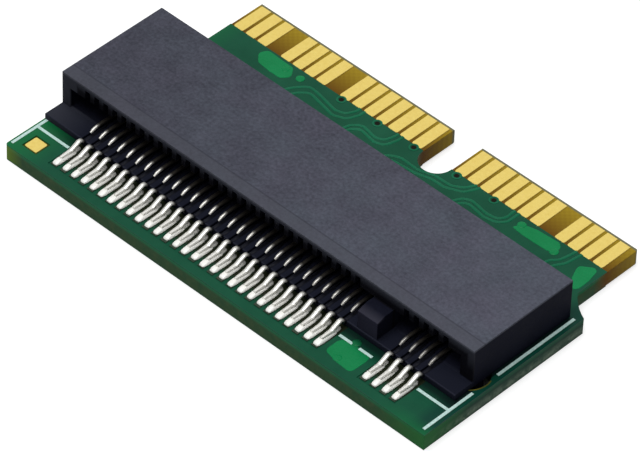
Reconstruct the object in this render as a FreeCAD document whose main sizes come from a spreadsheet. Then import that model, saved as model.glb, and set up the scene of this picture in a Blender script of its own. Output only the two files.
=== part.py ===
import FreeCAD, Part
import math
import os

import Sketcher

# A small circuit board that turns an M.2 (key M) drive into a 16 + 12 position card edge.
# Millimetres. +X runs along the socket, +Y from the socket's mouth to the card edge, +Z up.
# The origin is the centre of the board's outline at the level of its underside.

DRIVING_SIZES = (
    # circuit board
    ("core_thick", 0.70, "glass-epoxy laminate of a nominal 0.8 board"),
    ("skin_thick", 0.035, "solder mask, copper lands and gold fingers"),
    ("ink_thick", 0.015, "white ink strokes on the mask"),
    ("margin_left", 0.02, "board edge to the housing's left end"),
    ("margin_right", 0.45, "board edge to the housing's right end"),
    ("margin_front", 0.49, "board edge to the front lands"),
    ("rear_apron", 2.83, "housing's back to the gold fingers"),
    ("front_corner_radius", 0.12, "front left corner of the board"),
    ("shoulder_run", 1.10, "least step from the wide board to the tongue"),
    ("shoulder_rise", 0.87, "length of the shoulder along Y"),
    ("shoulder_radius", 2.90, "hollow curve of the shoulder"),
    ("shoulder_gap", 1.68, "gold fingers to the end of the shoulder"),
    ("notch_long", 1.50, "key notch of the card edge, along X"),
    ("notch_run", 0.80, "notch floor beyond the fingers' inner ends"),
    ("notch_chamfer", 0.08, "corner of the notch's left mouth"),
    ("tongue_chamfer", 0.15, "far right corner of the tongue"),
    # gold fingers
    ("finger_pitch", 0.65, "spacing of the card edge"),
    ("finger_wide", 0.52, "one finger across"),
    ("finger_deep", 1.78, "one finger along Y"),
    ("finger_inset", 0.11, "fingers' outer ends to the board's back edge, which is bevelled"),
    ("edge_bevel", 0.15, "depth of the bevel at the card edge, on each face"),
    ("finger_side_left", 0.39, "tongue's left edge to the first finger's middle"),
    ("finger_side_right", 0.526, "last finger's middle to the tongue's right edge"),
    ("finger_gap", 2.284, "between the middles of the two fingers beside the notch"),
    # socket housing
    ("contact_pitch", 0.50, "spacing in each contact row"),
    ("end_left", 1.91, "outermost contact to the housing's left end"),
    ("end_right", 1.42, "outermost contact to the housing's right end"),
    ("pillar_left", 0.45, "left end pillar of the slot"),
    ("pillar_right", 0.65, "right end pillar of the slot"),
    ("slot_deep", 4.00, "mouth to the stop wall"),
    ("rear_block", 1.46, "stop wall to the housing's back"),
    ("ledge_reach", 0.95, "front ledge before the mouth"),
    ("ledge_high", 0.27, "ledge above the board"),
    ("floor_high", 0.40, "slot floor above the board"),
    ("ramp_deep", 0.35, "slope from ledge to slot floor"),
    ("slot_high", 0.85, "room for a 0.8 card"),
    ("lip_thick", 0.63, "top wall over the slot"),
    ("groove_clear", 0.03, "play round a contact in its comb slot"),
    ("comb_spare", 0.16, "room above an upper spring in the roof"),
    ("relief_deep", 0.40, "short end slot of the roof comb"),
    ("key_wide", 1.02, "key rib between the long and the short row"),
    ("key_reach", 0.90, "key rib before the mouth"),
    ("key_drop", 0.15, "key rib's nose under the roof"),
    ("key_slope", 0.45, "length of the nose's sloping top"),
    ("peg_left_radius", 0.55, "left locating peg"),
    ("peg_right_radius", 0.60, "right locating peg"),
    ("peg_clear", 0.04, "play round a peg"),
    ("peg_spare", 0.26, "more play round the right peg"),
    ("peg_long", 0.70, "peg below the housing"),
    ("peg_setback", 0.50, "mouth to the pegs"),
    ("peg_end_left", 1.06, "housing's left end to the left peg"),
    ("peg_end_right", 0.65, "housing's right end to the right peg"),
    # contacts
    ("strip_wide", 0.20, "contact across"),
    ("strip_thick", 0.12, "contact sheet"),
    ("shank_mitre", 0.05, "outer corner of a shank's bend past the inner one"),
    ("foot_long", 0.62, "front foot on its land"),
    ("rear_foot_long", 0.62, "rear foot on its land"),
    ("shank_run", 0.42, "slope of a front shank from foot to knee"),
    ("rear_shank_run", 0.16, "slope of a rear shank"),
    ("knee_high", 0.40, "top of the knee above the board"),
    ("knee_long", 0.08, "flat top of the front knee"),
    ("knee_clear", 0.17, "ledge to the back of the front knee"),
    ("rear_knee_long", 0.24, "rear knee behind the housing"),
    ("base_high", 0.10, "underside of a lower contact's base above the board"),
    ("root_rise", 0.10, "lower spring's top above the slot floor, at its root"),
    ("bend_rise", 0.16, "lower spring's top above the slot floor, where it bends up"),
    ("bend_hang", 0.01, "upper spring's underside under the roof, where it bends down"),
    ("crest_rise", 0.17, "lower crest's chord above the slot floor"),
    ("crest_hang", 0.18, "upper crest's chord under the roof"),
    ("crest_half", 0.12, "half of a crest's chord"),
    ("crest_radius", 0.40, "round of a crest"),
    ("lower_bend", 0.28, "bend of a lower spring before its crest's middle"),
    ("upper_bend", 0.38, "bend of an upper spring behind its crest's middle"),
    ("lower_crest", 0.30, "lower crest before the mouth"),
    ("upper_crest", 0.62, "upper crest behind the mouth"),
    ("upper_rise", 0.14, "upper spring's underside above the roof, at its root"),
    ("riser_setback", 0.54, "riser to the housing's back"),
    ("nose_long", 0.14, "tip beyond the crest"),
    ("nose_bend", 0.05, "tip bent away from the card"),
    ("nose_thick", 0.09, "tip's edge"),
    # lands
    ("land_side", 0.05, "land beside a foot"),
    ("front_land_toe", 0.34, "front land beyond a foot's toe"),
    ("rear_land_toe", 0.26, "rear land beyond a foot's toe"),
    ("land_heel", 0.25, "land behind a foot's heel"),
    ("mask_clear", 0.08, "mask opening round lands"),
    # hold-downs
    ("tab_thick", 0.12, "hold-down sheet"),
    ("tab_inset", 0.12, "end face to the upright of a hold-down"),
    ("tab_high", 0.90, "upright of a hold-down"),
    ("tab_setback", 2.40, "mouth to a hold-down's foot"),
    ("tab_long", 1.25, "hold-down's foot along Y"),
    ("tab_shoulder", 0.32, "foot beyond the upright, along Y"),
    ("tab_foot_inset", 0.05, "end face to the foot's outer edge"),
    ("tab_clear", 0.02, "play round a hold-down"),
    ("tab_land", 0.03, "hold-down's land beyond the foot"),
    # marks on the board
    ("fiducial_wide", 0.63, "square gold mark"),
    ("fiducial_x", 0.89, "board's left edge to the mark's middle"),
    ("fiducial_y", 0.81, "board's front edge to the mark's middle"),
    ("ink_wide", 0.13, "white stroke"),
    ("ink_left", 0.145, "board's left edge to the left stroke's middle"),
    ("ink_right", 0.24, "board's right edge to the right strokes' middle"),
    ("ink_cross", 1.59, "board's front edge to the cross strokes"),
    ("ink_front", 0.22, "board's front edge to the end strokes"),
    ("ink_gap", 0.05, "stroke to the mask opening that it stops at"),
    ("ink_break", 0.68, "half of the right stroke's break beside the peg hole"),
    ("dash_gap", 0.35, "gap between the two middle dashes"),
)

# Positions in a row, counted from 0, and the runs of them that hold a piece.
WIDE_POSITIONS = 16
NARROW_POSITIONS = 12
WIDE_TOP_RUNS = ((0, 3), (4, 4), (9, 7))
NARROW_TOP_RUNS = ((0, 7), (8, 4))
WIDE_UNDERSIDE_RUNS = ((0, WIDE_POSITIONS),)
NARROW_UNDERSIDE_RUNS = ((0, NARROW_POSITIONS),)
LOWER_POSITIONS = 37
UPPER_POSITIONS = 38
LOWER_RUNS = {"long_row": (0, 29), "short_row": (33, 4)}
UPPER_RUNS = {"long_row": (0, 29), "short_row": (33, 5)}
LEFT = "left"
RIGHT = "right"

document = FreeCAD.newDocument("adapter_card")
sheet = document.addObject("Spreadsheet::Sheet", "sizes")


class Size:
    """A length with the sheet formula that gives it."""

    def __init__(self, number, formula):
        self.number = number
        self.formula = formula

    def _joined(self, other, sign, number):
        text = other.formula if isinstance(other, Size) else repr(other)
        return Size(number, f"({self.formula} {sign} {text})")

    def __add__(self, other):
        return self._joined(other, "+", self.number + number_of(other))

    def __sub__(self, other):
        return self._joined(other, "-", self.number - number_of(other))

    def __mul__(self, other):
        return self._joined(other, "*", self.number * number_of(other))

    def __truediv__(self, other):
        return self._joined(other, "/", self.number / number_of(other))

    def __neg__(self):
        return Size(-self.number, f"(-1 * {self.formula})")


def number_of(value):
    return value.number if isinstance(value, Size) else value


def larger(one, other):
    return Size(max(one.number, other.number), f"max({one.formula}; {other.formula})")


def fill_sheet():
    """Writes each driving size to the sheet and returns them by name."""
    named = {}
    for row, (name, number, note) in enumerate(DRIVING_SIZES, start=1):
        sheet.set(f"A{row}", note)
        sheet.set(f"B{row}", str(number))
        sheet.setAlias(f"B{row}", name)
        named[name] = Size(number, f"sizes.{name}")
    document.recompute()
    return named


s = fill_sheet()
overcut = s["skin_thick"]  # a cutting outline passes this far outside the face that it opens
copper_level = s["skin_thick"] + s["core_thick"]

# ---- sizes that follow from the driving ones ----


def row_place(position, positions):
    """X of a contact position in the socket's frame; each row is centred on X = 0."""
    return s["contact_pitch"] * (position - (positions - 1) / 2)


# the socket's own frame: X = 0 amid the contact rows, Y = 0 at the mouth, Z = 0 on the board
strip_half = s["strip_wide"] / 2
land_half = strip_half + s["land_side"]
row_end = row_place(UPPER_POSITIONS - 1, UPPER_POSITIONS)
housing_left = row_end + s["end_left"]
housing_right = row_end + s["end_right"]
housing_deep = s["slot_deep"] + s["rear_block"]
roof_high = s["floor_high"] + s["slot_high"]
housing_high = roof_high + s["lip_thick"]
comb_high = roof_high + s["upper_rise"] + s["strip_thick"] + s["comb_spare"]
key_middle = (
    row_place(LOWER_RUNS["long_row"][1] - 1, LOWER_POSITIONS)
    + row_place(UPPER_RUNS["short_row"][0], UPPER_POSITIONS)
) / 2
ledge_front = -s["ledge_reach"]
root_end = s["slot_deep"] - s["groove_clear"]
riser_back = housing_deep - s["riser_setback"]
riser_front = riser_back - s["strip_thick"]
front_knee_end = ledge_front - s["knee_clear"]
front_knee = front_knee_end - s["knee_long"]
front_heel = front_knee - s["shank_run"]
front_toe = front_heel - s["foot_long"]
rear_knee = housing_deep + s["rear_knee_long"]
rear_heel = rear_knee + s["rear_shank_run"]
rear_toe = rear_heel + s["rear_foot_long"]
front_land = (front_toe - s["front_land_toe"], front_heel + s["land_heel"])
rear_land = (rear_heel - s["land_heel"], rear_toe + s["rear_land_toe"])

# the board, in the part's frame
tongue_long = (
    s["finger_side_left"]
    + s["finger_pitch"] * (WIDE_POSITIONS + NARROW_POSITIONS - 2)
    + s["finger_gap"]
    + s["finger_side_right"]
)
socket_span = housing_left + housing_right + s["margin_left"] + s["margin_right"]
board_half = larger(socket_span, tongue_long + s["shoulder_run"] * 2) / 2
tongue_half = tongue_long / 2
mouth_setback = s["margin_front"] - front_land[0]
board_deep = mouth_setback + housing_deep + s["rear_apron"] + s["finger_deep"] + s["finger_inset"]
board_back = board_deep / 2
board_front = -board_back
board_top = s["skin_thick"] * 2 + s["core_thick"]
finger_line = board_back - s["finger_inset"] - s["finger_deep"]
shoulder_end = finger_line - s["shoulder_gap"]
shoulder_start = shoulder_end - s["shoulder_rise"]
wide_first = s["finger_side_left"] - tongue_half
narrow_first = wide_first + s["finger_pitch"] * (WIDE_POSITIONS - 1) + s["finger_gap"]
notch_middle = narrow_first - s["finger_gap"] / 2
notch_half = s["notch_long"] / 2
notch_floor = finger_line - s["notch_run"]
socket_x = s["margin_left"] + housing_left - board_half
socket_y = board_front + mouth_setback


# ---- making features ----


def new_body(label, x=None, y=None, z=None):
    """A sub-part of its own, placed by sheet formulas."""
    body = document.addObject("PartDesign::Body", label)
    body.Label = label
    for axis, place in (("x", x), ("y", y), ("z", z)):
        if place is not None:
            body.setExpression(f"Placement.Base.{axis}", place.formula)
    return body


def origin_feature(body, role):
    return next(item for item in body.Origin.OriginFeatures if item.Role == role)


def new_sketch(body, plane, offset, name):
    sketch = body.newObject("Sketcher::SketchObject", name)
    sketch.AttachmentSupport = [(origin_feature(body, f"{plane}_Plane"), "")]
    sketch.MapMode = "FlatFace"
    if offset is not None:
        sketch.setExpression("AttachmentOffset.Base.z", offset.formula)
    return sketch


def bind(sketch, constraint, size):
    index = sketch.addConstraint(constraint)
    sketch.setExpression(f"Constraints[{index}]", size.formula)


def arc_between(start, end, radius):
    """The short arc from start to end. A positive radius has its centre left of the way along."""
    run = FreeCAD.Vector(end[0] - start[0], end[1] - start[1], 0)
    middle = FreeCAD.Vector((start[0] + end[0]) / 2, (start[1] + end[1]) / 2, 0)
    reach = math.sqrt(radius**2 - (run.Length / 2) ** 2)
    left = FreeCAD.Vector(-run.y, run.x, 0).normalize()
    side = 1 if radius > 0 else -1
    centre = middle + left * (reach * side)
    angles = [math.atan2(p[1] - centre.y, p[0] - centre.x) for p in (start, end)]
    if side < 0:
        angles.reverse()
    if angles[1] < angles[0]:
        angles[1] += 2 * math.pi
    circle = Part.Circle(centre, FreeCAD.Vector(0, 0, 1), abs(radius))
    return Part.ArcOfCircle(circle, *angles)


def closed_outline(sketch, corners):
    """Draws a closed outline of corners (x, y), or (x, y, radius) where an arc leaves one.

    A place is a Size, or 0 on the sketch's axis.
    """
    starts = []
    ends = []
    points = [(number_of(corner[0]), number_of(corner[1])) for corner in corners]
    for index, corner in enumerate(corners):
        here = points[index]
        there = points[(index + 1) % len(points)]
        if len(corner) == 3:
            radius = corner[2].number
            edge = sketch.addGeometry(arc_between(here, there, radius), False)
            starts.append((edge, 1 if radius > 0 else 2))
            ends.append((edge, 2 if radius > 0 else 1))
        else:
            line = Part.LineSegment(FreeCAD.Vector(*here, 0), FreeCAD.Vector(*there, 0))
            edge = sketch.addGeometry(line, False)
            starts.append((edge, 1))
            ends.append((edge, 2))
    for index, corner in enumerate(corners):
        sketch.addConstraint(
            Sketcher.Constraint("Coincident", *ends[index - 1], *starts[index])
        )
        for way, place, axis in (("DistanceX", corner[0], -2), ("DistanceY", corner[1], -1)):
            if isinstance(place, Size):
                distance = Sketcher.Constraint(way, -1, 1, *starts[index], place.number)
                bind(sketch, distance, place)
            else:
                sketch.addConstraint(
                    Sketcher.Constraint("PointOnObject", *starts[index], axis)
                )
        if len(corner) == 3:
            size = corner[2] if corner[2].number > 0 else -corner[2]
            bind(sketch, Sketcher.Constraint("Radius", starts[index][0], size.number), size)


def circle_outline(sketch, x, y, radius):
    centre = FreeCAD.Vector(x.number, y.number, 0)
    circle = Part.Circle(centre, FreeCAD.Vector(0, 0, 1), radius.number)
    edge = sketch.addGeometry(circle, False)
    bind(sketch, Sketcher.Constraint("DistanceX", -1, 1, edge, 3, x.number), x)
    bind(sketch, Sketcher.Constraint("DistanceY", -1, 1, edge, 3, y.number), y)
    bind(sketch, Sketcher.Constraint("Radius", edge, radius.number), radius)


def rectangle(low_x, high_x, low_y, high_y):
    return ((low_x, low_y), (high_x, low_y), (high_x, high_y), (low_x, high_y))


def extrude(body, kind, name, plane, offset, length, outlines=(), circles=()):
    """Adds (Pad) or cuts (Pocket) what lies from offset to offset + length along the plane's normal."""
    sketch = new_sketch(body, plane, offset, f"{name}_sketch")
    for corners in outlines:
        closed_outline(sketch, corners)
    for circle in circles:
        circle_outline(sketch, *circle)
    feature = body.newObject(f"PartDesign::{kind}", name)
    feature.Profile = sketch
    feature.setExpression("Length", length.formula)
    feature.Reversed = kind == "Pocket"
    return feature


def pad(body, name, plane, offset, length, outlines=(), circles=()):
    return extrude(body, "Pad", name, plane, offset, length, outlines, circles)


def pocket(body, name, plane, offset, length, outlines=(), circles=()):
    return extrude(body, "Pocket", name, plane, offset, length, outlines, circles)


def repeat_along_x(body, feature, pitch, count):
    """A row of count copies of feature, pitch apart, towards +X."""
    row = body.newObject("PartDesign::LinearPattern", f"{feature.Name}_row")
    row.Originals = [feature]
    row.Direction = (origin_feature(body, "X_Axis"), [""])
    row.Mode = "Spacing"
    row.setExpression("Offset", pitch.formula)
    row.Occurrences = count
    body.Tip = row
    return row


# ---- circuit board ----


def board_outline():
    """Wide part in front, hollow shoulders, and the tongue with its notch at the back."""
    notch_left = notch_middle - notch_half
    notch_right = notch_middle + notch_half
    chamfer = s["tongue_chamfer"]
    return (
        (s["front_corner_radius"] - board_half, board_front),
        (board_half, board_front),
        (board_half, shoulder_start, -s["shoulder_radius"]),
        (tongue_half, shoulder_end),
        (tongue_half, board_back - chamfer),
        (tongue_half - chamfer, board_back),
        (notch_right, board_back),
        (notch_right, notch_floor + notch_half, -notch_half),
        (notch_middle, notch_floor, -notch_half),
        (notch_left, notch_floor + notch_half),
        (notch_left, board_back - s["notch_chamfer"]),
        (notch_left - s["notch_chamfer"], board_back),
        (-tongue_half, board_back),
        (-tongue_half, shoulder_end, -s["shoulder_radius"]),
        (-board_half, shoulder_start),
        (-board_half, board_front + s["front_corner_radius"], s["front_corner_radius"]),
    )


def peg_circles():
    """The two locating pegs of the socket's frame, as (x, y, radius)."""
    middles = (s["peg_end_left"] - housing_left, housing_right - s["peg_end_right"])
    radii = (s["peg_left_radius"], s["peg_right_radius"])
    return [(middle, s["peg_setback"], radius) for middle, radius in zip(middles, radii)]


def peg_holes():
    """The holes round the pegs in the part's frame. The right one leaves the peg more play."""
    plays = (s["peg_clear"], s["peg_clear"] + s["peg_spare"])
    holes = []
    for (x, y, radius), play in zip(peg_circles(), plays):
        holes.append((x + socket_x, y + socket_y, radius + play))
    return holes


def edge_bevel(level, way):
    """Wedge that a bevel takes off the card edge at a level, with way 1 up from it and -1 down."""
    bevel_start = board_back - s["finger_inset"]
    outside = board_back + overcut
    depth = s["edge_bevel"] * way
    beyond = depth * (overcut / s["finger_inset"])
    return (
        (bevel_start, level),
        (outside, level),
        (outside, depth + beyond + level),
    )


def circuit_board():
    body = new_body("circuit_board", z=s["skin_thick"])
    pad(body, "laminate", "XY", None, s["core_thick"], [board_outline()])
    pocket(body, "peg_holes", "XY", None, s["core_thick"], circles=peg_holes())
    bevels = [edge_bevel(0, 1), edge_bevel(s["core_thick"], -1)]
    pocket(body, "card_edge_bevels", "YZ", -tongue_half, tongue_long, bevels)


def land_windows():
    """Openings of the top mask in the part's frame. The front ones run back to the ledge."""
    clear = s["mask_clear"]
    windows = []
    for runs, positions, front, back in (
        (LOWER_RUNS, LOWER_POSITIONS, front_land[0] - clear, ledge_front),
        (UPPER_RUNS, UPPER_POSITIONS, rear_land[0] - clear, rear_land[1] + clear),
    ):
        for first, count in runs.values():
            low = row_place(first, positions) - land_half - clear
            high = row_place(first + count - 1, positions) + land_half + clear
            windows.append(rectangle(*on_board(low, high, front, back)))
    windows += [rectangle(*on_board(*tab_land_span(side))) for side in (LEFT, RIGHT)]
    windows.append(fiducial_outline(s["fiducial_wide"] / 2 + clear))
    return windows


def on_board(low_x, high_x, low_y, high_y):
    """A rectangle of the socket's frame in the part's frame."""
    return low_x + socket_x, high_x + socket_x, low_y + socket_y, high_y + socket_y


def solder_mask(label, level, windows):
    """A mask of the board's outline that leaves the gold fingers' part of the tongue bare."""
    body = new_body(label, z=level)
    pad(body, f"{label}_sheet", "XY", None, s["skin_thick"], [board_outline()])
    tongue_low = -tongue_half - overcut
    bare = rectangle(tongue_low, tongue_half + overcut, finger_line, board_back + overcut)
    pocket(body, f"{label}_bare_tongue", "XY", None, s["skin_thick"], [bare])
    if windows:
        pocket(body, f"{label}_windows", "XY", None, s["skin_thick"], windows)
    pocket(body, f"{label}_holes", "XY", None, s["skin_thick"], circles=peg_holes())


def finger_group(label, level, first_place, runs):
    """Gold fingers of one group on one face, in runs of neighbours."""
    body = new_body(label, z=level)
    half = s["finger_wide"] / 2
    for first, count in runs:
        middle = first_place + s["finger_pitch"] * first
        outer_end = finger_line + s["finger_deep"]
        outline = rectangle(middle - half, middle + half, finger_line, outer_end)
        finger = pad(body, f"{label}_from_{first}", "XY", None, s["skin_thick"], [outline])
        repeat_along_x(body, finger, s["finger_pitch"], count)


def fiducial_outline(half):
    x = s["fiducial_x"] - board_half
    y = board_front + s["fiducial_y"]
    return rectangle(x - half, x + half, y - half, y + half)


def corner_fiducial():
    body = new_body("corner_fiducial", z=copper_level)
    outline = fiducial_outline(s["fiducial_wide"] / 2)
    pad(body, "gold_square", "XY", None, s["skin_thick"], [outline])


def silkscreen_lines():
    """White strokes: along the board's ends and across in front of the ledge."""
    body = new_body("silkscreen_lines", z=board_top)
    half = s["ink_wide"] / 2
    left = s["ink_left"] - board_half
    right = board_half - s["ink_right"]
    cross = board_front + s["ink_cross"]
    front = board_front + s["ink_front"]
    stop = s["mask_clear"] + s["ink_gap"] + land_half
    first, count = LOWER_RUNS["long_row"]
    long_first = row_place(first, LOWER_POSITIONS) + socket_x - stop
    long_last = row_place(first + count - 1, LOWER_POSITIONS) + socket_x + stop
    short_last = row_place(LOWER_POSITIONS - 1, LOWER_POSITIONS) + socket_x + stop
    key = key_middle + socket_x
    dash_start = s["dash_gap"] / 2
    dash_end = key - long_last
    peg_y = s["peg_setback"] + socket_y
    strokes = {
        "left_end": (left - half, left + half, front, ledge_front + socket_y),
        "left_cross": (left + half, long_first, cross - half, cross + half),
        "left_dash": (long_last, key - dash_start, cross - half, cross + half),
        "right_dash": (key + dash_start, key + dash_end, cross - half, cross + half),
        "right_cross": (short_last, right - half, cross - half, cross + half),
        "right_end_front": (right - half, right + half, front, peg_y - s["ink_break"]),
        "right_end_back": (
            right - half,
            right + half,
            peg_y + s["ink_break"],
            housing_deep + socket_y,
        ),
    }
    for name, span in strokes.items():
        pad(body, name, "XY", None, s["ink_thick"], [rectangle(*span)])


# ---- socket ----


def socket_body(label, z):
    """A sub-part in the socket's frame."""
    return new_body(label, socket_x, socket_y, z)


def comb(body, name, runs, positions, outline):
    """Cuts the slot of one contact at each position of each run."""
    half = strip_half + s["groove_clear"]
    for run, (first, count) in runs.items():
        start = row_place(first, positions) - half
        slot = pocket(body, f"{name}_{run}", "YZ", start, half * 2, [outline])
        repeat_along_x(body, slot, s["contact_pitch"], count)


def housing_shell():
    """Section of the moulding: the upper body behind the low front ledge."""
    return (
        (ledge_front, 0),
        (housing_deep, 0),
        (housing_deep, housing_high),
        (0, housing_high),
        (0, s["ledge_high"]),
        (ledge_front, s["ledge_high"]),
    )


def card_slot():
    """Section of the slot, which rises from the ledge over a short ramp."""
    return (
        (-overcut, s["ledge_high"]),
        (0, s["ledge_high"]),
        (s["ramp_deep"], s["floor_high"]),
        (s["slot_deep"], s["floor_high"]),
        (s["slot_deep"], roof_high),
        (-overcut, roof_high),
    )


def key_nose():
    """Section of the key rib before the mouth."""
    return (
        (-s["key_reach"], s["ledge_high"]),
        (0, s["ledge_high"]),
        (0, roof_high),
        (s["key_slope"] - s["key_reach"], roof_high),
        (-s["key_reach"], roof_high - s["key_drop"]),
    )


def lower_comb_slot():
    """Section of a slot of the ledge and the slot floor, open upwards and to the front."""
    groove_floor = s["base_high"] - s["groove_clear"]
    return rectangle(
        ledge_front - overcut, s["slot_deep"], groove_floor, s["floor_high"] + overcut
    )


def upper_comb_slot():
    """Section of a slot of the roof, down a shaft behind the stop wall and out at the back."""
    shaft_front = riser_front - s["groove_clear"]
    shaft_back = riser_back + s["groove_clear"]
    exit_high = s["knee_high"] + s["groove_clear"]
    return (
        (-overcut, roof_high),
        (shaft_front, roof_high),
        (shaft_front, -overcut),
        (housing_deep + overcut, -overcut),
        (housing_deep + overcut, exit_high),
        (shaft_back, exit_high),
        (shaft_back, comb_high),
        (-overcut, comb_high),
    )


def socket_housing():
    body = socket_body("socket_housing", board_top)
    pad(body, "shell", "YZ", -housing_left, housing_left + housing_right, [housing_shell()])
    key_half = s["key_wide"] / 2
    slot_start = s["pillar_left"] - housing_left
    slot_end = housing_right - s["pillar_right"]
    long_slot = key_middle - key_half - slot_start
    short_slot = slot_end - key_middle - key_half
    pocket(body, "long_slot", "YZ", slot_start, long_slot, [card_slot()])
    pocket(body, "short_slot", "YZ", key_middle + key_half, short_slot, [card_slot()])
    pad(body, "key_nose", "YZ", key_middle - key_half, s["key_wide"], [key_nose()])
    comb(body, "lower_comb", LOWER_RUNS, LOWER_POSITIONS, lower_comb_slot())
    comb(body, "upper_comb", UPPER_RUNS, UPPER_POSITIONS, upper_comb_slot())
    relief_half = strip_half + s["groove_clear"]
    relief = rectangle(-overcut, s["relief_deep"], roof_high, comb_high)
    relief_start = row_place(-1, UPPER_POSITIONS) - relief_half
    pocket(body, "end_relief", "YZ", relief_start, relief_half * 2, [relief])
    for name, side in (("left", LEFT), ("right", RIGHT)):
        foot, upright = tab_spans(side, s["tab_clear"])
        slot_high = s["tab_thick"] + s["tab_clear"]
        pocket(body, f"{name}_foot_slot", "XY", None, slot_high, [rectangle(*foot)])
        slot_high = s["tab_high"] + s["tab_clear"]
        pocket(body, f"{name}_upright_slot", "XY", None, slot_high, [rectangle(*upright)])
    pegs = peg_circles()
    pad(body, "locating_pegs", "XY", -s["peg_long"], s["peg_long"], circles=pegs)


def tab_spans(side, play):
    """Foot and upright of a hold-down as (low x, high x, low y, high y), play wider all round."""
    end = housing_right if side == RIGHT else housing_left
    outer = end - s["tab_foot_inset"]
    upright_out = end - s["tab_inset"]
    upright_in = upright_out - s["tab_thick"]
    foot_ends = (s["tab_setback"], s["tab_setback"] + s["tab_long"])
    upright_ends = (foot_ends[0] + s["tab_shoulder"], foot_ends[1] - s["tab_shoulder"])
    spans = []
    for near, far, ends in ((upright_in, outer, foot_ends), (upright_in, upright_out, upright_ends)):
        if play is not None:
            near = near - play
            far = far + play
            ends = (ends[0] - play, ends[1] + play)
        across = (near, far) if side == RIGHT else (-far, -near)
        spans.append((*across, *ends))
    return spans


def tab_land_span(side):
    """Land of a hold-down as (low x, high x, low y, high y)."""
    return tab_spans(side, s["tab_land"])[0]


def hold_down(label, side):
    """A tinned tab: the foot is soldered to the board and the upright stands in the housing."""
    body = socket_body(label, board_top)
    foot, upright = tab_spans(side, None)
    pad(body, f"{label}_foot", "XY", None, s["tab_thick"], [rectangle(*foot)])
    pad(body, f"{label}_upright", "XY", None, s["tab_high"], [rectangle(*upright)])


def hold_down_land(label, side):
    body = socket_body(label, copper_level)
    land = rectangle(*tab_land_span(side))
    pad(body, f"{label}_pad", "XY", None, s["skin_thick"], [land])


def lower_contact():
    """Side view of a lower contact, from its foot round the root to the crest over the ledge."""
    sheet_thick = s["strip_thick"]
    mitre = s["shank_mitre"]
    under_knee = s["knee_high"] - sheet_thick
    base_top = s["base_high"] + sheet_thick
    root_top = s["floor_high"] + s["root_rise"]
    bend = s["lower_bend"] - s["lower_crest"]
    bend_top = s["floor_high"] + s["bend_rise"]
    crest_back = s["crest_half"] - s["lower_crest"]
    crest_front = crest_back - s["crest_half"] * 2
    crest_chord = s["floor_high"] + s["crest_rise"]
    tip = crest_front - s["nose_long"]
    tip_top = crest_chord - s["nose_bend"]
    return (
        (front_toe, 0),
        (front_heel, 0),
        (front_knee, under_knee),
        (front_knee_end, under_knee),
        (ledge_front, s["base_high"]),
        (root_end, s["base_high"]),
        (root_end, root_top),
        (bend, bend_top),
        (crest_back, crest_chord, s["crest_radius"]),
        (crest_front, crest_chord),
        (tip, tip_top),
        (tip, tip_top - s["nose_thick"]),
        (crest_back, crest_chord - sheet_thick),
        (bend, bend_top - sheet_thick),
        (root_end - sheet_thick, root_top - sheet_thick),
        (root_end - sheet_thick, base_top),
        (ledge_front + mitre, base_top),
        (front_knee_end + mitre, s["knee_high"]),
        (front_knee - mitre, s["knee_high"]),
        (front_heel - mitre, sheet_thick),
        (front_toe, sheet_thick),
    )


def upper_contact():
    """Side view of an upper contact, from its tip back along the roof, down and out to its foot."""
    sheet_thick = s["strip_thick"]
    mitre = s["shank_mitre"]
    under_knee = s["knee_high"] - sheet_thick
    spring_low = roof_high + s["upper_rise"]
    bend = s["upper_crest"] + s["upper_bend"]
    bend_low = roof_high - s["bend_hang"]
    crest_front = s["upper_crest"] - s["crest_half"]
    crest_back = s["upper_crest"] + s["crest_half"]
    crest_chord = roof_high - s["crest_hang"]
    tip = crest_front - s["nose_long"]
    tip_low = crest_chord + s["nose_bend"]
    return (
        (tip, tip_low),
        (crest_front, crest_chord, s["crest_radius"]),
        (crest_back, crest_chord),
        (bend, bend_low),
        (riser_front, spring_low),
        (riser_front, under_knee),
        (rear_knee, under_knee),
        (rear_heel, 0),
        (rear_toe, 0),
        (rear_toe, sheet_thick),
        (rear_heel + mitre, sheet_thick),
        (rear_knee + mitre, s["knee_high"]),
        (riser_back, s["knee_high"]),
        (riser_back, spring_low + sheet_thick),
        (bend, bend_low + sheet_thick),
        (crest_back, crest_chord + sheet_thick),
        (tip, tip_low + s["nose_thick"]),
    )


def contact_row(label, run, positions, outline):
    """Formed contacts side by side, each a strip of one width."""
    body = socket_body(label, board_top)
    first, count = run
    start = row_place(first, positions) - strip_half
    strip = pad(body, f"{label}_strip", "YZ", start, s["strip_wide"], [outline])
    repeat_along_x(body, strip, s["contact_pitch"], count)


def land_row(label, run, positions, land):
    """Gold-plated copper lands under one run of feet."""
    body = socket_body(label, copper_level)
    first, count = run
    middle = row_place(first, positions)
    outline = rectangle(middle - land_half, middle + land_half, *land)
    first_land = pad(body, f"{label}_first", "XY", None, s["skin_thick"], [outline])
    repeat_along_x(body, first_land, s["contact_pitch"], count)


# ---- the whole part ----


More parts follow.
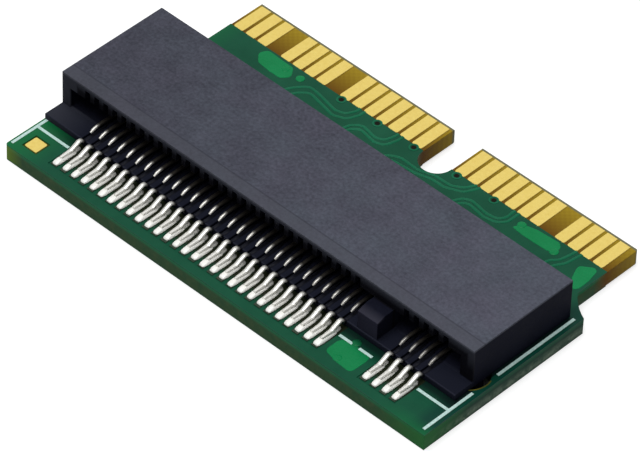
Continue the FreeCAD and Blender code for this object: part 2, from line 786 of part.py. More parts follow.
def build():
    circuit_board()
    solder_mask("solder_mask_top", copper_level, land_windows())
    solder_mask("solder_mask_underside", None, [])
    finger_group("edge_fingers_top_wide", copper_level, wide_first, WIDE_TOP_RUNS)
    finger_group("edge_fingers_top_narrow", copper_level, narrow_first, NARROW_TOP_RUNS)
    finger_group("edge_fingers_underside_wide", None, wide_first, WIDE_UNDERSIDE_RUNS)
    finger_group("edge_fingers_underside_narrow", None, narrow_first, NARROW_UNDERSIDE_RUNS)
    corner_fiducial()
    silkscreen_lines()
    socket_housing()
    for run in LOWER_RUNS:
        contact_row(f"lower_contacts_{run}", LOWER_RUNS[run], LOWER_POSITIONS, lower_contact())
        land_row(f"front_lands_{run}", LOWER_RUNS[run], LOWER_POSITIONS, front_land)
    for run in UPPER_RUNS:
        contact_row(f"upper_contacts_{run}", UPPER_RUNS[run], UPPER_POSITIONS, upper_contact())
        land_row(f"rear_lands_{run}", UPPER_RUNS[run], UPPER_POSITIONS, rear_land)
    for name, side in (("left", LEFT), ("right", RIGHT)):
        hold_down(f"hold_down_{name}", side)
        hold_down_land(f"hold_down_land_{name}", side)
    document.recompute()


def check_features(body):
    """Each pad adds volume to what came before it and each pocket takes some away."""
    volume = 0
    for item in body.Group:
        if not item.isDerivedFrom("PartDesign::Feature"):
            continue
        grew = item.Shape.Volume > volume
        cuts = item.isDerivedFrom("PartDesign::Pocket")
        if item.isDerivedFrom("PartDesign::LinearPattern"):
            cuts = item.Originals[0].isDerivedFrom("PartDesign::Pocket")
        if grew == cuts:
            raise RuntimeError(f"{item.Label} has no effect")
        volume = item.Shape.Volume


def export_parts():
    """Checks every object and writes each sub-part to a file of its own."""
    for item in document.Objects:
        if "Invalid" in item.State or "Error" in item.State:
            raise RuntimeError(f"{item.Label} failed: {item.State}")
    os.makedirs("parts", exist_ok=True)
    for body in document.findObjects("PartDesign::Body"):
        if body.Shape.isNull() or not body.Shape.isValid():
            raise RuntimeError(f"{body.Label} has no valid shape")
        check_features(body)
        body.Shape.exportStep(f"parts/{body.Label}.step")
        print(body.Label, len(body.Shape.Solids), round(body.Shape.Volume, 4))


build()
export_parts()
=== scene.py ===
import logging
from dataclasses import dataclass
from enum import Enum
from functools import cached_property, reduce
from typing import Callable, Sequence

import bmesh
import bpy
import numpy as np
from mathutils import Matrix


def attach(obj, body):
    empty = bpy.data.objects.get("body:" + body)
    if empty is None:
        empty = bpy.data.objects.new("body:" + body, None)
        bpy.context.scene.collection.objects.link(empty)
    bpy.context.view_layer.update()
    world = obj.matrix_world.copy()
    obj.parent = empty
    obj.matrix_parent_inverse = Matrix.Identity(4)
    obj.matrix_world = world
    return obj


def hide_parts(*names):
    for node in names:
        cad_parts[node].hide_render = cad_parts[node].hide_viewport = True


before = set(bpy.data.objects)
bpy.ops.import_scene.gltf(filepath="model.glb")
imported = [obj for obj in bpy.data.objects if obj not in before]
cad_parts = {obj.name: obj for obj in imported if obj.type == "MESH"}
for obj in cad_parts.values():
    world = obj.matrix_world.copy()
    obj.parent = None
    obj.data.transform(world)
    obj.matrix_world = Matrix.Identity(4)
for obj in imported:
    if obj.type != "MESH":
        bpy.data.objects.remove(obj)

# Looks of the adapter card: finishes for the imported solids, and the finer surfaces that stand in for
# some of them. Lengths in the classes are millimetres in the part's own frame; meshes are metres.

MM = 0.001
LOG = logging.getLogger("adapter_card")
Colour = tuple[float, float, float]
Point = tuple[float, float, float]
Span = tuple[float, float]
Socket = bpy.types.NodeSocket
Finishes = dict[str, bpy.types.Material]


# ---- shader nodes ----


class Shader:
    """A small builder round one node tree."""

    def __init__(self, tree: bpy.types.NodeTree) -> None:
        """Keeps the tree that the nodes go into."""
        self.tree = tree

    def node(self, kind: str, **settings: object) -> bpy.types.Node:
        """Adds a node and sets its properties.

        Args:
            kind: the node's type name.
            settings: its properties by name.

        Returns:
            The new node.
        """
        made = self.tree.nodes.new(kind)
        for name, value in settings.items():
            setattr(made, name, value)
        return made

    def feed(self, socket: Socket, value: object) -> None:
        """Links a socket to the value where that is a socket, and sets it otherwise.

        Args:
            socket: the input that gets the value.
            value: a socket, a number or a colour.
        """
        if isinstance(value, bpy.types.NodeSocket):
            self.tree.links.new(value, socket)
        elif isinstance(value, tuple) and socket.type == "RGBA":
            socket.default_value = (*value, 1.0)
        else:
            socket.default_value = value

    def math(self, operation: str, *values: object) -> Socket:
        """Adds a Math node.

        Args:
            operation: what it does.
            values: numbers or sockets for its inputs.

        Returns:
            Its result.
        """
        made = self.node("ShaderNodeMath", operation=operation)
        for index, value in enumerate(values):
            self.feed(made.inputs[index], value)
        return made.outputs[0]

    def times(self, *values: object) -> Socket:
        """The product of two or more values."""
        return reduce(lambda first, second: self.math("MULTIPLY", first, second), values)

    def most(self, *values: object) -> Socket:
        """The largest of two or more values."""
        return reduce(lambda first, second: self.math("MAXIMUM", first, second), values)

    def away(self, value: Socket, middle: float) -> Socket:
        """The distance between a value and a middle."""
        return self.math("ABSOLUTE", self.math("SUBTRACT", value, middle))

    def below(self, value: Socket, limit: float) -> Socket:
        """1 where the value is under the limit, and 0 elsewhere."""
        return self.math("LESS_THAN", value, limit)

    def above(self, value: Socket, limit: float) -> Socket:
        """1 where the value is over the limit, and 0 elsewhere."""
        return self.math("GREATER_THAN", value, limit)

    def mix(self, factor: object, first: object, second: object) -> Socket:
        """Blends two colours by a factor.

        Args:
            factor: 0 gives the first colour and 1 the second.
            first: the first colour.
            second: the second colour.

        Returns:
            The blend.
        """
        made = self.node("ShaderNodeMix", data_type="RGBA")
        for index, value in ((0, factor), (6, first), (7, second)):
            self.feed(made.inputs[index], value)
        return made.outputs[2]

    def remap(self, value: object, ends: Span, low: float = 0.0, high: float = 1.0) -> Socket:
        """Maps a value from between two ends to low and high, held at both ends.

        Args:
            value: a number or socket.
            ends: where low and high are reached.
            low: the result up to the first end.
            high: the result from the second end on.

        Returns:
            The mapped value.
        """
        made = self.node("ShaderNodeMapRange")
        for index, item in enumerate((value, *ends, low, high)):
            self.feed(made.inputs[index], item)
        return made.outputs[0]

    @cached_property
    def place(self) -> Socket:
        """The point's object coordinates, which are the part's own frame in metres."""
        return self.node("ShaderNodeTexCoord").outputs["Object"]

    @cached_property
    def axes(self) -> tuple[Socket, Socket, Socket]:
        """Splits the place, scaled to millimetres.

        Returns:
            X, Y and Z of the point.
        """
        scaled = self.node("ShaderNodeVectorMath", operation="SCALE")
        self.feed(scaled.inputs[0], self.place)
        scaled.inputs["Scale"].default_value = 1.0 / MM
        made = self.node("ShaderNodeSeparateXYZ")
        self.feed(made.inputs[0], scaled.outputs[0])
        return made.outputs[0], made.outputs[1], made.outputs[2]

    def effect(self, kind: "Effect", **inputs: object) -> tuple[Socket, Socket]:
        """Places a shared effect.

        Args:
            kind: which one.
            inputs: its inputs by name, besides the place.

        Returns:
            Its mask and its height.
        """
        made = self.node("ShaderNodeGroup", node_tree=effect_tree(kind))
        for name, value in {"Place": self.place, **inputs}.items():
            self.feed(made.inputs[name], value)
        return made.outputs["Mask"], made.outputs["Height"]

    def grain(self, size: float, contrast: float) -> tuple[Socket, Socket]:
        """Mask and height of noise of a size in millimetres."""
        return self.effect(Effect.GRAIN, Size=size, Contrast=contrast)

    def bump(self, height: Socket, distance: float, strength: float) -> Socket:
        """Adds a Bump node.

        Args:
            height: the relief, 0 to 1.
            distance: height of the relief in millimetres.
            strength: how much of it shows.

        Returns:
            Its normal.
        """
        made = self.node("ShaderNodeBump")
        made.inputs["Strength"].default_value = strength
        made.inputs["Distance"].default_value = distance * MM
        self.feed(made.inputs["Height"], height)
        return made.outputs[0]


class Effect(Enum):
    """Effects that several finishes share."""

    GRAIN = "grain"
    SPECKS = "specks"


def effect_tree(kind: Effect) -> bpy.types.NodeTree:
    """The node group of an effect, built on its first use.

    Args:
        kind: which effect.

    Returns:
        GRAIN gives Mask and Height, both 0 to 1, from noise of a given size in millimetres.
        SPECKS gives Mask, 1 on small rounded specks that cover about the given share.
    """
    found = bpy.data.node_groups.get(kind.value)
    if found:
        return found
    tree = bpy.data.node_groups.new(kind.value, "ShaderNodeTree")
    shader = Shader(tree)
    source = tree.interface.new_socket(name="Place", in_out="INPUT", socket_type="NodeSocketVector")
    source.hide_value = True
    for name in ("Size", "Contrast" if kind is Effect.GRAIN else "Share"):
        tree.interface.new_socket(name=name, in_out="INPUT", socket_type="NodeSocketFloat")
    for name in ("Mask", "Height"):
        tree.interface.new_socket(name=name, in_out="OUTPUT", socket_type="NodeSocketFloat")
    entry = shader.node("NodeGroupInput").outputs
    leave = shader.node("NodeGroupOutput").inputs
    scale = shader.math("DIVIDE", 1.0 / MM, entry["Size"])
    if kind is Effect.GRAIN:
        pattern = shader.node("ShaderNodeTexNoise")
        pattern.inputs["Detail"].default_value = 4.0
        pattern.inputs["Roughness"].default_value = 0.6
        height = pattern.outputs[0]
        spread = shader.math("MULTIPLY_ADD", shader.math("SUBTRACT", height, 0.5), entry["Contrast"], 0.5)
        mask = shader.remap(spread, (0.0, 1.0))
    else:
        pattern = shader.node("ShaderNodeTexVoronoi", feature="F1")
        height = pattern.outputs["Distance"]
        inside = shader.math("SUBTRACT", shader.times(entry["Share"], 0.9), height)
        mask = shader.remap(inside, (0.0, 0.15))
    shader.feed(pattern.inputs["Vector"], entry["Place"])
    shader.feed(pattern.inputs["Scale"], scale)
    shader.feed(leave["Mask"], mask)
    shader.feed(leave["Height"], height)
    return tree


# ---- finishes ----


@dataclass(frozen=True)
class Finish(Shader):
    """A material, and the builder that works out its sockets from place."""

    name: str

    @cached_property
    def made(self) -> bpy.types.Material:
        """The material itself."""
        return bpy.data.materials.new(self.name)

    @cached_property
    def tree(self) -> bpy.types.NodeTree:
        """Its node tree, with a Principled BSDF to start from."""
        self.made.use_nodes = True
        return self.made.node_tree

    def sockets(self) -> dict[str, object]:
        """Works out what the sockets of the Principled BSDF get.

        Returns:
            Values by socket name.
        """
        raise NotImplementedError

    def material(self) -> bpy.types.Material:
        """Feeds the sockets of the Principled BSDF.

        Returns:
            The finished material.
        """
        inputs = self.tree.nodes["Principled BSDF"].inputs
        for name, value in self.sockets().items():
            self.feed(inputs[name], value)
        return self.made


@dataclass(frozen=True)
class MouldingFinish(Finish):
    """Black glass-filled moulding, mottled; painted light and shade give a pale top, dark walls, an even
    band on the lip.
    """

    # The top's tones, painted paler than the walls as the light from above.
    dark: Colour = (0.040, 0.041, 0.055)
    pale: Colour = (0.105, 0.101, 0.138)
    cool: Colour = (0.093, 0.109, 0.136)
    # A painted light gradient along X, paler towards the right end.
    length: Span = (-11.0, 11.0)
    light_along_x: Span = (-0.40, 0.06)
    top_z: Span = (2.55, 2.60)
    # The walls' tones, painted dark as the shade on faces that the light misses.
    wall_shade: Colour = (0.0044, 0.0049, 0.0100)
    wall_shade_pale: Colour = (0.0085, 0.0094, 0.0185)
    # A band along the front of the top, painted towards one tone as the light on a chamfer there, with a
    # dark line along its back edge.
    band: Colour = (0.074, 0.077, 0.095)
    line: Colour = (0.032, 0.033, 0.044)
    band_end: float = -2.97
    line_reach: Span = (0.01, 0.05)
    # The key rib's nose: painted light on its crest and front face, fading inwards as painted shade.
    nose: Colour = (0.034, 0.034, 0.049)
    nose_y: Span = (-4.38, -4.02)
    nose_z: Span = (1.81, 1.87)
    nose_face_lit: Colour = (0.018, 0.018, 0.031)
    nose_front: float = -4.435
    # The front over the mouth: painted light towards its top edge and on the end pillars, painted shade
    # lower down on the teeth.
    mouth: float = -3.555
    mouth_reach: float = 0.06
    lip: Colour = (0.040, 0.043, 0.058)
    lip_z: Span = (2.24, 2.60)
    teeth_shade: Colour = (0.0045, 0.0045, 0.0070)
    left_pillar: Span = (-10.35, -10.25)
    right_pillar: Span = (10.35, 10.45)
    right_pillar_z: Span = (1.60, 2.30)
    # The ledge before the mouth: painted light, more at its left end, and a painted highlight along its
    # front edge.
    ledge: Colour = (0.0105, 0.0120, 0.0215)
    ledge_y: float = -3.455
    ledge_z: Span = (1.06, 1.12)
    ledge_left_lit: Colour = (0.032, 0.034, 0.046)
    ledge_left_x: Span = (-10.9, -9.2)
    ledge_edge_highlight: Colour = (0.022, 0.024, 0.038)
    ledge_edge_y: float = -4.455
    ledge_edge_z: Span = (0.98, 1.02)

    def key_nose(self, walls: Socket) -> Socket:
        """The nose of the key rib is painted paler on its crest and its front as light, fading inwards as
        shade.

        Args:
            walls: the colour so far.

        Returns:
            The colour with the nose.
        """
        _, y, z = self.axes
        crest = self.times(self.remap(y, self.nose_y, 1.0, 0.0), self.remap(z, self.nose_z))
        walls = self.mix(crest, walls, self.nose)
        return self.mix(self.below(y, self.nose_front), walls, self.nose_face_lit)

    def lip_front(self, walls: Socket) -> Socket:
        """The front over the mouth is painted paler towards its top edge and on the end pillars as light,
        and dark below as shade.

        Args:
            walls: the colour so far.

        Returns:
            The colour with the front.
        """
        x, y, z = self.axes
        facing = self.below(self.away(y, self.mouth), self.mouth_reach)
        left = self.remap(x, self.left_pillar, 0.7, 0.0)
        right = self.remap(x, self.right_pillar, 0.0, 0.6)
        right = self.times(right, self.remap(z, self.right_pillar_z))
        pale = self.most(self.remap(z, self.lip_z), left, right)
        return self.mix(facing, walls, self.mix(pale, self.teeth_shade, self.lip))

    def front_ledge(self, walls: Socket) -> Socket:
        """The ledge before the mouth is painted lighter, more at its left end, with a painted highlight
        along its front edge.

        Args:
            walls: the colour so far.

        Returns:
            The colour with the ledge.
        """
        x, y, z = self.axes
        before = self.below(y, self.ledge_y)
        low = self.times(self.remap(z, self.ledge_z, 1.0, 0.0), before)
        left = self.remap(x, self.ledge_left_x, 0.9, 0.0)
        walls = self.mix(low, walls, self.mix(left, self.ledge, self.ledge_left_lit))
        edge = self.times(
            self.below(y, self.ledge_edge_y), self.remap(z, self.ledge_edge_z, 0.0, 0.8), low
        )
        return self.mix(edge, walls, self.ledge_edge_highlight)

    def sockets(self) -> dict[str, object]:
        """Noise of three sizes mixes the tones. Painted light makes the top paler than the walls. The
        band is a range of Y on the top, painted as the light on a chamfer.

        Returns:
            Values by socket name.
        """
        x, y, z = self.axes
        fine, relief = self.grain(0.14, 1.5)
        broad, _ = self.grain(1.1, 1.6)
        hue, _ = self.grain(2.4, 1.9)
        # The X gradient is painted light.
        both = self.math("MULTIPLY_ADD", broad, 0.55, self.remap(x, self.length, *self.light_along_x))
        tone = self.remap(self.math("ADD", fine, both), (0.0, 1.1))
        walls = self.mix(tone, self.wall_shade, self.wall_shade_pale)
        for shaded in (self.key_nose, self.lip_front, self.front_ledge):
            walls = shaded(walls)
        # Painted light: the top paler than the walls, and the band along its front in the tone of a lit
        # chamfer.
        top = self.remap(z, self.top_z)
        pale = self.mix(hue, self.pale, self.cool)
        colour = self.mix(top, walls, self.mix(tone, self.dark, pale))
        lit_band = self.times(top, self.below(y, self.band_end), 0.5)
        colour = self.mix(lit_band, colour, self.band)
        near = self.remap(self.away(y, self.band_end), self.line_reach, 0.5, 0.0)
        return {
            "Base Color": self.mix(self.times(near, top), colour, self.line),
            "Roughness": self.remap(fine, (0.0, 1.0), 0.48, 0.68),
            "Specular IOR Level": 0.02,
            "Normal": self.bump(relief, 0.02, 0.35),
        }


@dataclass(frozen=True)
class MaskFinish(Finish):
    """Green solder mask, darker over bare laminate and brighter over copper."""

    deep: Colour
    lit: Colour
    # A brighter green for the left end, also used as the painted glow at the front right corner.
    corner: Colour
    roughness: float = 0.30
    left_x: Span = (-11.1, -9.2)
    # Painted shade along the right edge.
    shade: Colour = (0.003, 0.040, 0.030)
    shade_x: Span = (10.15, 10.60)
    # Painted shade, with the reflection of the black housing, beside the housing's right end and before
    # the ledge.
    housing_shade: Colour = (0.003, 0.007, 0.008)
    gap_x: Span = (10.82, 10.85)
    gap_middle: float = -1.35
    gap_reach: Span = (3.10, 3.30)
    # Where the painted glow at the front right corner falls.
    glow_x: Span = (8.60, 10.85)
    glow_y: Span = (-6.60, -6.00)
    # Where the painted shade before the ledge falls.
    ledge_y: Span = (-5.20, -4.70)
    ledge_front: float = -4.30
    ledge_half: float = 10.85

    def shaded(self, green: Socket) -> Socket:
        """Painted shade darkens the mask along the right edge and close before and beside the housing; a
        painted glow lights the front right corner.

        Args:
            green: the colour so far.

        Returns:
            The shaded colour.
        """
        x, y, _ = self.axes
        side = self.remap(x, self.shade_x)
        green = self.mix(self.times(side, 0.75), green, self.shade)
        beside = self.remap(self.away(y, self.gap_middle), self.gap_reach, 0.92, 0.0)
        beside = self.times(beside, self.remap(x, self.gap_x, 1.0, 0.0), side)
        green = self.mix(beside, green, self.housing_shade)
        glow = self.times(self.remap(y, self.glow_y, 0.7, 0.0), self.remap(x, self.glow_x))
        green = self.mix(glow, green, self.corner)
        before = self.times(self.remap(y, self.ledge_y, 0.0, 0.85), self.below(y, self.ledge_front))
        wide = self.below(self.math("ABSOLUTE", x), self.ledge_half)
        return self.mix(self.times(before, wide), green, self.housing_shade)

    def sockets(self) -> dict[str, object]:
        """Broad noise varies the green, which turns towards the corner's green at the left end.

        Returns:
            Values by socket name.
        """
        broad, _ = self.grain(1.6, 1.8)
        fine, relief = self.grain(0.12, 1.0)
        green = self.shaded(self.mix(broad, self.deep, self.lit))
        left = self.remap(self.axes[0], self.left_x, 0.9, 0.0)
        smooth, rough = self.roughness - 0.05, self.roughness + 0.08
        return {
            "Base Color": self.mix(left, green, self.corner),
            "Roughness": self.remap(fine, (0.0, 1.0), smooth, rough),
            "Specular IOR Level": 0.08,
            "Normal": self.bump(relief, 0.008, 0.3),
        }


@dataclass(frozen=True)
class LaminateFinish(Finish):
    """Bare glass-epoxy: amber on the tongue, and a green-brown edge round the coated part, with painted
    light and shade.
    """

    amber: Colour = (0.345, 0.235, 0.017)
    brown: Colour = (0.130, 0.058, 0.006)
    thread: float = 0.28
    coated_end: float = 4.00
    finger_y: Span = (4.735, 6.30)
    end_grey: Colour = (0.170, 0.165, 0.095)
    end_y: Span = (6.40, 6.43)
    edge_dark: Colour = (0.018, 0.068, 0.029)
    edge_brown: Colour = (0.048, 0.088, 0.036)
    # A painted green highlight along the top of the edge, weaker on the right face.
    rim_highlight: Colour = (0.010, 0.170, 0.075)
    rim_z: Span = (0.535, 0.735)
    right_edge: float = 11.10
    # Painted shade on the right face.
    shade: Colour = (0.006, 0.040, 0.029)
    fibre: Colour = (0.150, 0.210, 0.155)
    fibre_low: Span = (0.02, 0.12)
    fibre_high: Span = (0.24, 0.50)
    # A painted olive glow at the board's left end.
    olive: Colour = (0.140, 0.240, 0.018)
    olive_x: Span = (-11.1, -10.2)
    # A painted green glow towards the front right corner.
    glow: Colour = (0.020, 0.150, 0.034)
    glow_x: Span = (8.6, 10.8)
    glow_y: Span = (-6.2, -4.2)
    # The floor of the mask's windows: bare laminate painted near black as the shade under the leads and
    # the ledge, green at the front.
    window_shaded: Colour = (0.016, 0.020, 0.010)
    window_front: Colour = (0.008, 0.075, 0.040)
    window_y: Span = (-6.05, -5.45)
    window_z: float = 0.725
    surround: Colour = (0.035, 0.062, 0.010)
    surround_x: float = -9.65

    def tongue(self) -> Socket:
        """Resin that turns from brown to amber along Y, with the cloth of two crossed sine waves.

        Returns:
            The colour of the tongue.
        """
        x, y, _ = self.axes
        turn = 2.0 * np.pi / self.thread
        warp, weft = (self.math("SINE", self.times(axis, turn)) for axis in (x, y))
        cloth = self.remap(self.times(warp, weft), (-1.0, 1.0), 0.0, 0.2)
        resin = self.mix(self.remap(y, self.finger_y), self.brown, self.amber)
        resin = self.mix(cloth, resin, self.brown)
        return self.mix(self.remap(y, self.end_y), resin, self.end_grey)

    def edge(self, mottle: Socket) -> Socket:
        """Layers by Z under a painted green highlight along the top, with painted shade and a pale
        fibrous band on the right edge.

        Args:
            mottle: broad noise.

        Returns:
            The colour of the coated part's edge.
        """
        x, _, z = self.axes
        right = self.above(x, self.right_edge)
        colour = self.mix(mottle, self.edge_dark, self.edge_brown)
        colour = self.mix(self.times(right, 0.8), colour, self.shade)
        low = self.remap(z, self.fibre_low, 0.3, 1.0)
        high = self.remap(z, self.fibre_high, 1.0, 0.0)
        patchy = self.remap(mottle, (0.2, 0.8), 0.15, 1.0)
        colour = self.mix(self.times(low, high, right, patchy), colour, self.fibre)
        rim = self.times(self.remap(z, self.rim_z), self.remap(right, (0.0, 1.0), 1.0, 0.45))
        return self.mix(rim, colour, self.rim_highlight)

    def coated(self, mottle: Socket) -> Socket:
        """The edge, with a painted olive glow at the left end and a painted green glow at the front
        right, and the windows' floor, painted dark as shade.

        Args:
            mottle: broad noise.

        Returns:
            The colour of the coated part.
        """
        x, y, z = self.axes
        colour = self.edge(mottle)
        colour = self.mix(self.remap(x, self.olive_x, 0.85, 0.0), colour, self.olive)
        glow = self.times(self.remap(y, self.glow_y, 0.85, 0.0), self.remap(x, self.glow_x))
        colour = self.mix(glow, colour, self.glow)
        floor = self.mix(self.remap(y, self.window_y), self.window_front, self.window_shaded)
        floor = self.mix(self.below(x, self.surround_x), floor, self.surround)
        return self.mix(self.above(z, self.window_z), colour, floor)

    def sockets(self) -> dict[str, object]:
        """The bare tongue follows on the coated part along Y.

        Returns:
            Values by socket name.
        """
        mottle, relief = self.grain(0.30, 2.0)
        bare = self.remap(self.axes[1], (self.coated_end, self.finger_y[0]))
        return {
            "Base Color": self.mix(bare, self.coated(mottle), self.tongue()),
            "Roughness": 0.5,
            "Specular IOR Level": 0.04,
            "Normal": self.bump(relief, 0.02, 0.3),
        }


@dataclass(frozen=True)
class MetalFinish(Finish):
    """Plated metal with a soft cloud and small worn spots."""

    bright: Colour
    dull: Colour
    spot: Colour
    roughness: float
    grain_size: float = 0.3
    metallic: float = 1.0
    spots: float = 0.25
    relief: float = 0.01

    def sockets(self) -> dict[str, object]:
        """Noise mixes the bright and the dull tone, and specks carry the worn colour.

        Returns:
            Values by socket name.
        """
        cloud, height = self.grain(self.grain_size, 1.7)
        specks, _ = self.effect(Effect.SPECKS, Size=self.grain_size * 1.4, Share=self.spots)
        colour = self.mix(cloud, self.bright, self.dull)
        return {
            "Base Color": self.mix(self.times(specks, 0.35), colour, self.spot),
            "Metallic": self.metallic,
            "Roughness": self.remap(cloud, (0.0, 1.0), self.roughness, self.roughness + 0.14),
            "Normal": self.bump(height, self.relief, 0.3),
        }


@dataclass(frozen=True)
class StripFinish(Finish):
    """Contact strip: bright tin on the tails, a pale crest, and painted shade inside the housing."""

    tin: Colour = (0.95, 0.94, 0.90)
    tin_dull: Colour = (0.80, 0.79, 0.73)
    # Painted shade on the strip inside the housing.
    inside_shade: Colour = (0.050, 0.045, 0.038)
    ledge_y: Span = (-4.675, -4.535)
    crest: Colour = (0.88, 0.86, 0.80)
    # Painted shade that dims the crests' glint towards the right.
    crest_right_shade: Colour = (0.34, 0.33, 0.31)
    crest_x: Span = (-3.0, 8.0)
    # Where the pale crest starts, and where painted shade ends its glint.
    crest_start: Span = (-4.295, -4.195)
    crest_end: Span = (-3.935, -3.655)
    # Painted shade on the base runs low in the grooves.
    groove_shade: Colour = (0.010, 0.011, 0.018)
    groove_z: Span = (1.03, 1.07)
    tail_y: Span = (1.845, 2.045)

    def sockets(self) -> dict[str, object]:
        """Painted shade darkens the strip inside the housing and low in the grooves, where it is also
        less metallic, and dims the crests to the right; noise dulls the tin in spots.

        Returns:
            Values by socket name.
        """
        x, y, z = self.axes
        cloud, height = self.grain(0.12, 1.7)
        tin = self.mix(cloud, self.tin, self.tin_dull)
        # Painted shade on the strip inside the housing, which also ends the crest's glint.
        inside = self.remap(y, self.ledge_y)
        colour = self.mix(inside, tin, self.inside_shade)
        # Painted shade dims the crests towards the right.
        crest = self.mix(self.remap(x, self.crest_x), self.crest, self.crest_right_shade)
        colour = self.mix(self.remap(y, self.crest_start), colour, crest)
        colour = self.mix(self.remap(y, self.crest_end), colour, self.inside_shade)
        # Painted shade low in the grooves, where the strip is also less metallic.
        low = self.times(self.remap(z, self.groove_z, 1.0, 0.0), inside)
        colour = self.mix(low, colour, self.groove_shade)
        return {
            "Base Color": self.mix(self.remap(y, self.tail_y), colour, tin),
            "Metallic": self.remap(low, (0.0, 1.0), 0.60, 0.10),
            "Roughness": self.remap(cloud, (0.0, 1.0), 0.30, 0.44),
            "Normal": self.bump(height, 0.012, 0.3),
        }


@dataclass(frozen=True)
class InkFinish(Finish):
    """White ink, slightly thin in places so that the green shows."""

    white: Colour = (0.66, 0.86, 0.83)
    thin: Colour = (0.38, 0.58, 0.53)

    def sockets(self) -> dict[str, object]:
        """Fine noise mixes the full and the thin ink.

        Returns:
            Values by socket name.
        """
        grain, height = self.grain(0.10, 2.2)
        return {
            "Base Color": self.mix(grain, self.white, self.thin),
            "Roughness": 0.55,
            "Normal": self.bump(height, 0.006, 0.4),
        }


@dataclass(frozen=True)
class CloudedFinish(Finish):
    """A matt surface clouded between two tones."""

    first: Colour
    second: Colour
    size: float = 0.2

    def sockets(self) -> dict[str, object]:
        """Noise of the given size mixes the two tones.

        Returns:
            Values by socket name.
        """
        grain, _ = self.grain(self.size, 1.8)
        return {
            "Base Color": self.mix(grain, self.first, self.second),
            "Roughness": 0.7,
            "Specular IOR Level": 0.1,
        }


def make_finishes() -> Finishes:
    """Makes every material of the part once.

    Returns:
        The materials by name.
    """
    recipes = (
        MouldingFinish("black_moulding"),
        LaminateFinish("bare_laminate"),
        MaskFinish("green_mask", (0.0035, 0.065, 0.033), (0.0080, 0.093, 0.047), (0.006, 0.150, 0.044)),
        MaskFinish(
            "green_mask_on_copper", (0.003, 0.185, 0.055), (0.008, 0.245, 0.080), (0.006, 0.230, 0.070),
            0.26,
        ),
        MaskFinish(
            "green_mask_on_traces", (0.004, 0.115, 0.052), (0.010, 0.150, 0.074), (0.006, 0.150, 0.050)
        ),
        MetalFinish("gold_plate", (0.88, 0.70, 0.21), (0.80, 0.62, 0.17), (0.84, 0.62, 0.25), 0.44, 0.16),
        StripFinish("contact_strip"),
        MetalFinish(
            "tinned_strip", (0.90, 0.90, 0.86), (0.74, 0.74, 0.70), (0.60, 0.57, 0.48), 0.34, 0.12
        ),
        MetalFinish(
            "solder", (0.97, 0.97, 0.94), (0.92, 0.91, 0.86), (0.80, 0.76, 0.62), 0.45, 0.10, 0.20
        ),
        # Lands painted near black, as the shade round the solder joints.
        MetalFinish(
            "tarnished_land", (0.040, 0.060, 0.035), (0.020, 0.040, 0.022), (0.03, 0.03, 0.02), 0.50,
            0.12, 0.4,
        ),
        InkFinish("white_ink"),
        # A dark disc painted as the shade down each via.
        CloudedFinish("hole_inside", (0.003, 0.004, 0.002), (0.012, 0.010, 0.004)),
        # The peg hole's laminate edge: resin colour, painted bright as its glint.
        CloudedFinish("resin_rim", (0.17, 0.14, 0.014), (0.04, 0.06, 0.012), 0.5),
    )
    return {recipe.name: recipe.material() for recipe in recipes}


# ---- surfaces ----


def ring_quads(rings: int, size: int, looped: bool = False) -> np.ndarray:
    """Quads between rings of points that are numbered ring by ring.

    Args:
        rings: how many rings there are.
        size: points of each ring, of which the last joins the first.
        looped: whether the last ring joins the first one.

    Returns:
        One row of four point numbers for each quad.
    """
    starts = np.arange(rings if looped else rings - 1)
    ring, point = np.meshgrid(starts, np.arange(size), indexing="ij")
    here, ahead = ring * size, (ring + 1) % rings * size
    after = (point + 1) % size
    corners = (here + point, here + after, ahead + after, ahead + point)
    return np.stack([item.ravel() for item in corners], axis=1)


@dataclass
class Surface:
    """Points in millimetres, and blocks of faces with equally many corners."""

    points: np.ndarray
    blocks: list[np.ndarray]

    def repeated(self, offsets: np.ndarray, sizes: np.ndarray | float = 1.0) -> "Surface":
        """Copies the surface, each scaled and then moved.

        Args:
            offsets: how far each copy is moved, one row each.
            sizes: scale of each copy along X, Y and Z.

        Returns:
            All copies as one surface.
        """
        scale = np.broadcast_to(sizes, offsets.shape)[:, None]
        points = (self.points[None] * scale + offsets[:, None]).reshape(-1, 3)
        shift = np.arange(len(offsets))[:, None, None] * len(self.points)
        blocks = [(block[None] + shift).reshape(-1, block.shape[1]) for block in self.blocks]
        return Surface(points, blocks)


def merged(surfaces: Sequence[Surface]) -> Surface:
    """Joins surfaces, with the point numbers of each raised past those before it.

    Args:
        surfaces: the surfaces in order.

    Returns:
        All of them as one.
    """
    starts = np.cumsum([0] + [len(one.points) for one in surfaces])
    blocks = [block + start for one, start in zip(surfaces, starts) for block in one.blocks]
    return Surface(np.concatenate([one.points for one in surfaces]), blocks)


def ringed(rings: np.ndarray) -> Surface:
    """A closed solid from rings of points: quads between rings, and flat faces on both ends.

    Args:
        rings: points as rings by points by three, each ring anticlockwise seen from the last one.

    Returns:
        The solid's surface.
    """
    count, size = rings.shape[:2]
    first = np.arange(size - 1, -1, -1)[None]
    last = (np.arange(size) + (count - 1) * size)[None]
    return Surface(rings.reshape(-1, 3), [ring_quads(count, size), first, last])


def left_of(along: np.ndarray) -> np.ndarray:
    """Unit vectors a quarter turn to the left of the given directions in a plane."""
    unit = along / np.maximum(np.linalg.norm(along, axis=1), 1e-9)[:, None]
    return np.stack([-unit[:, 1], unit[:, 0]], axis=1)


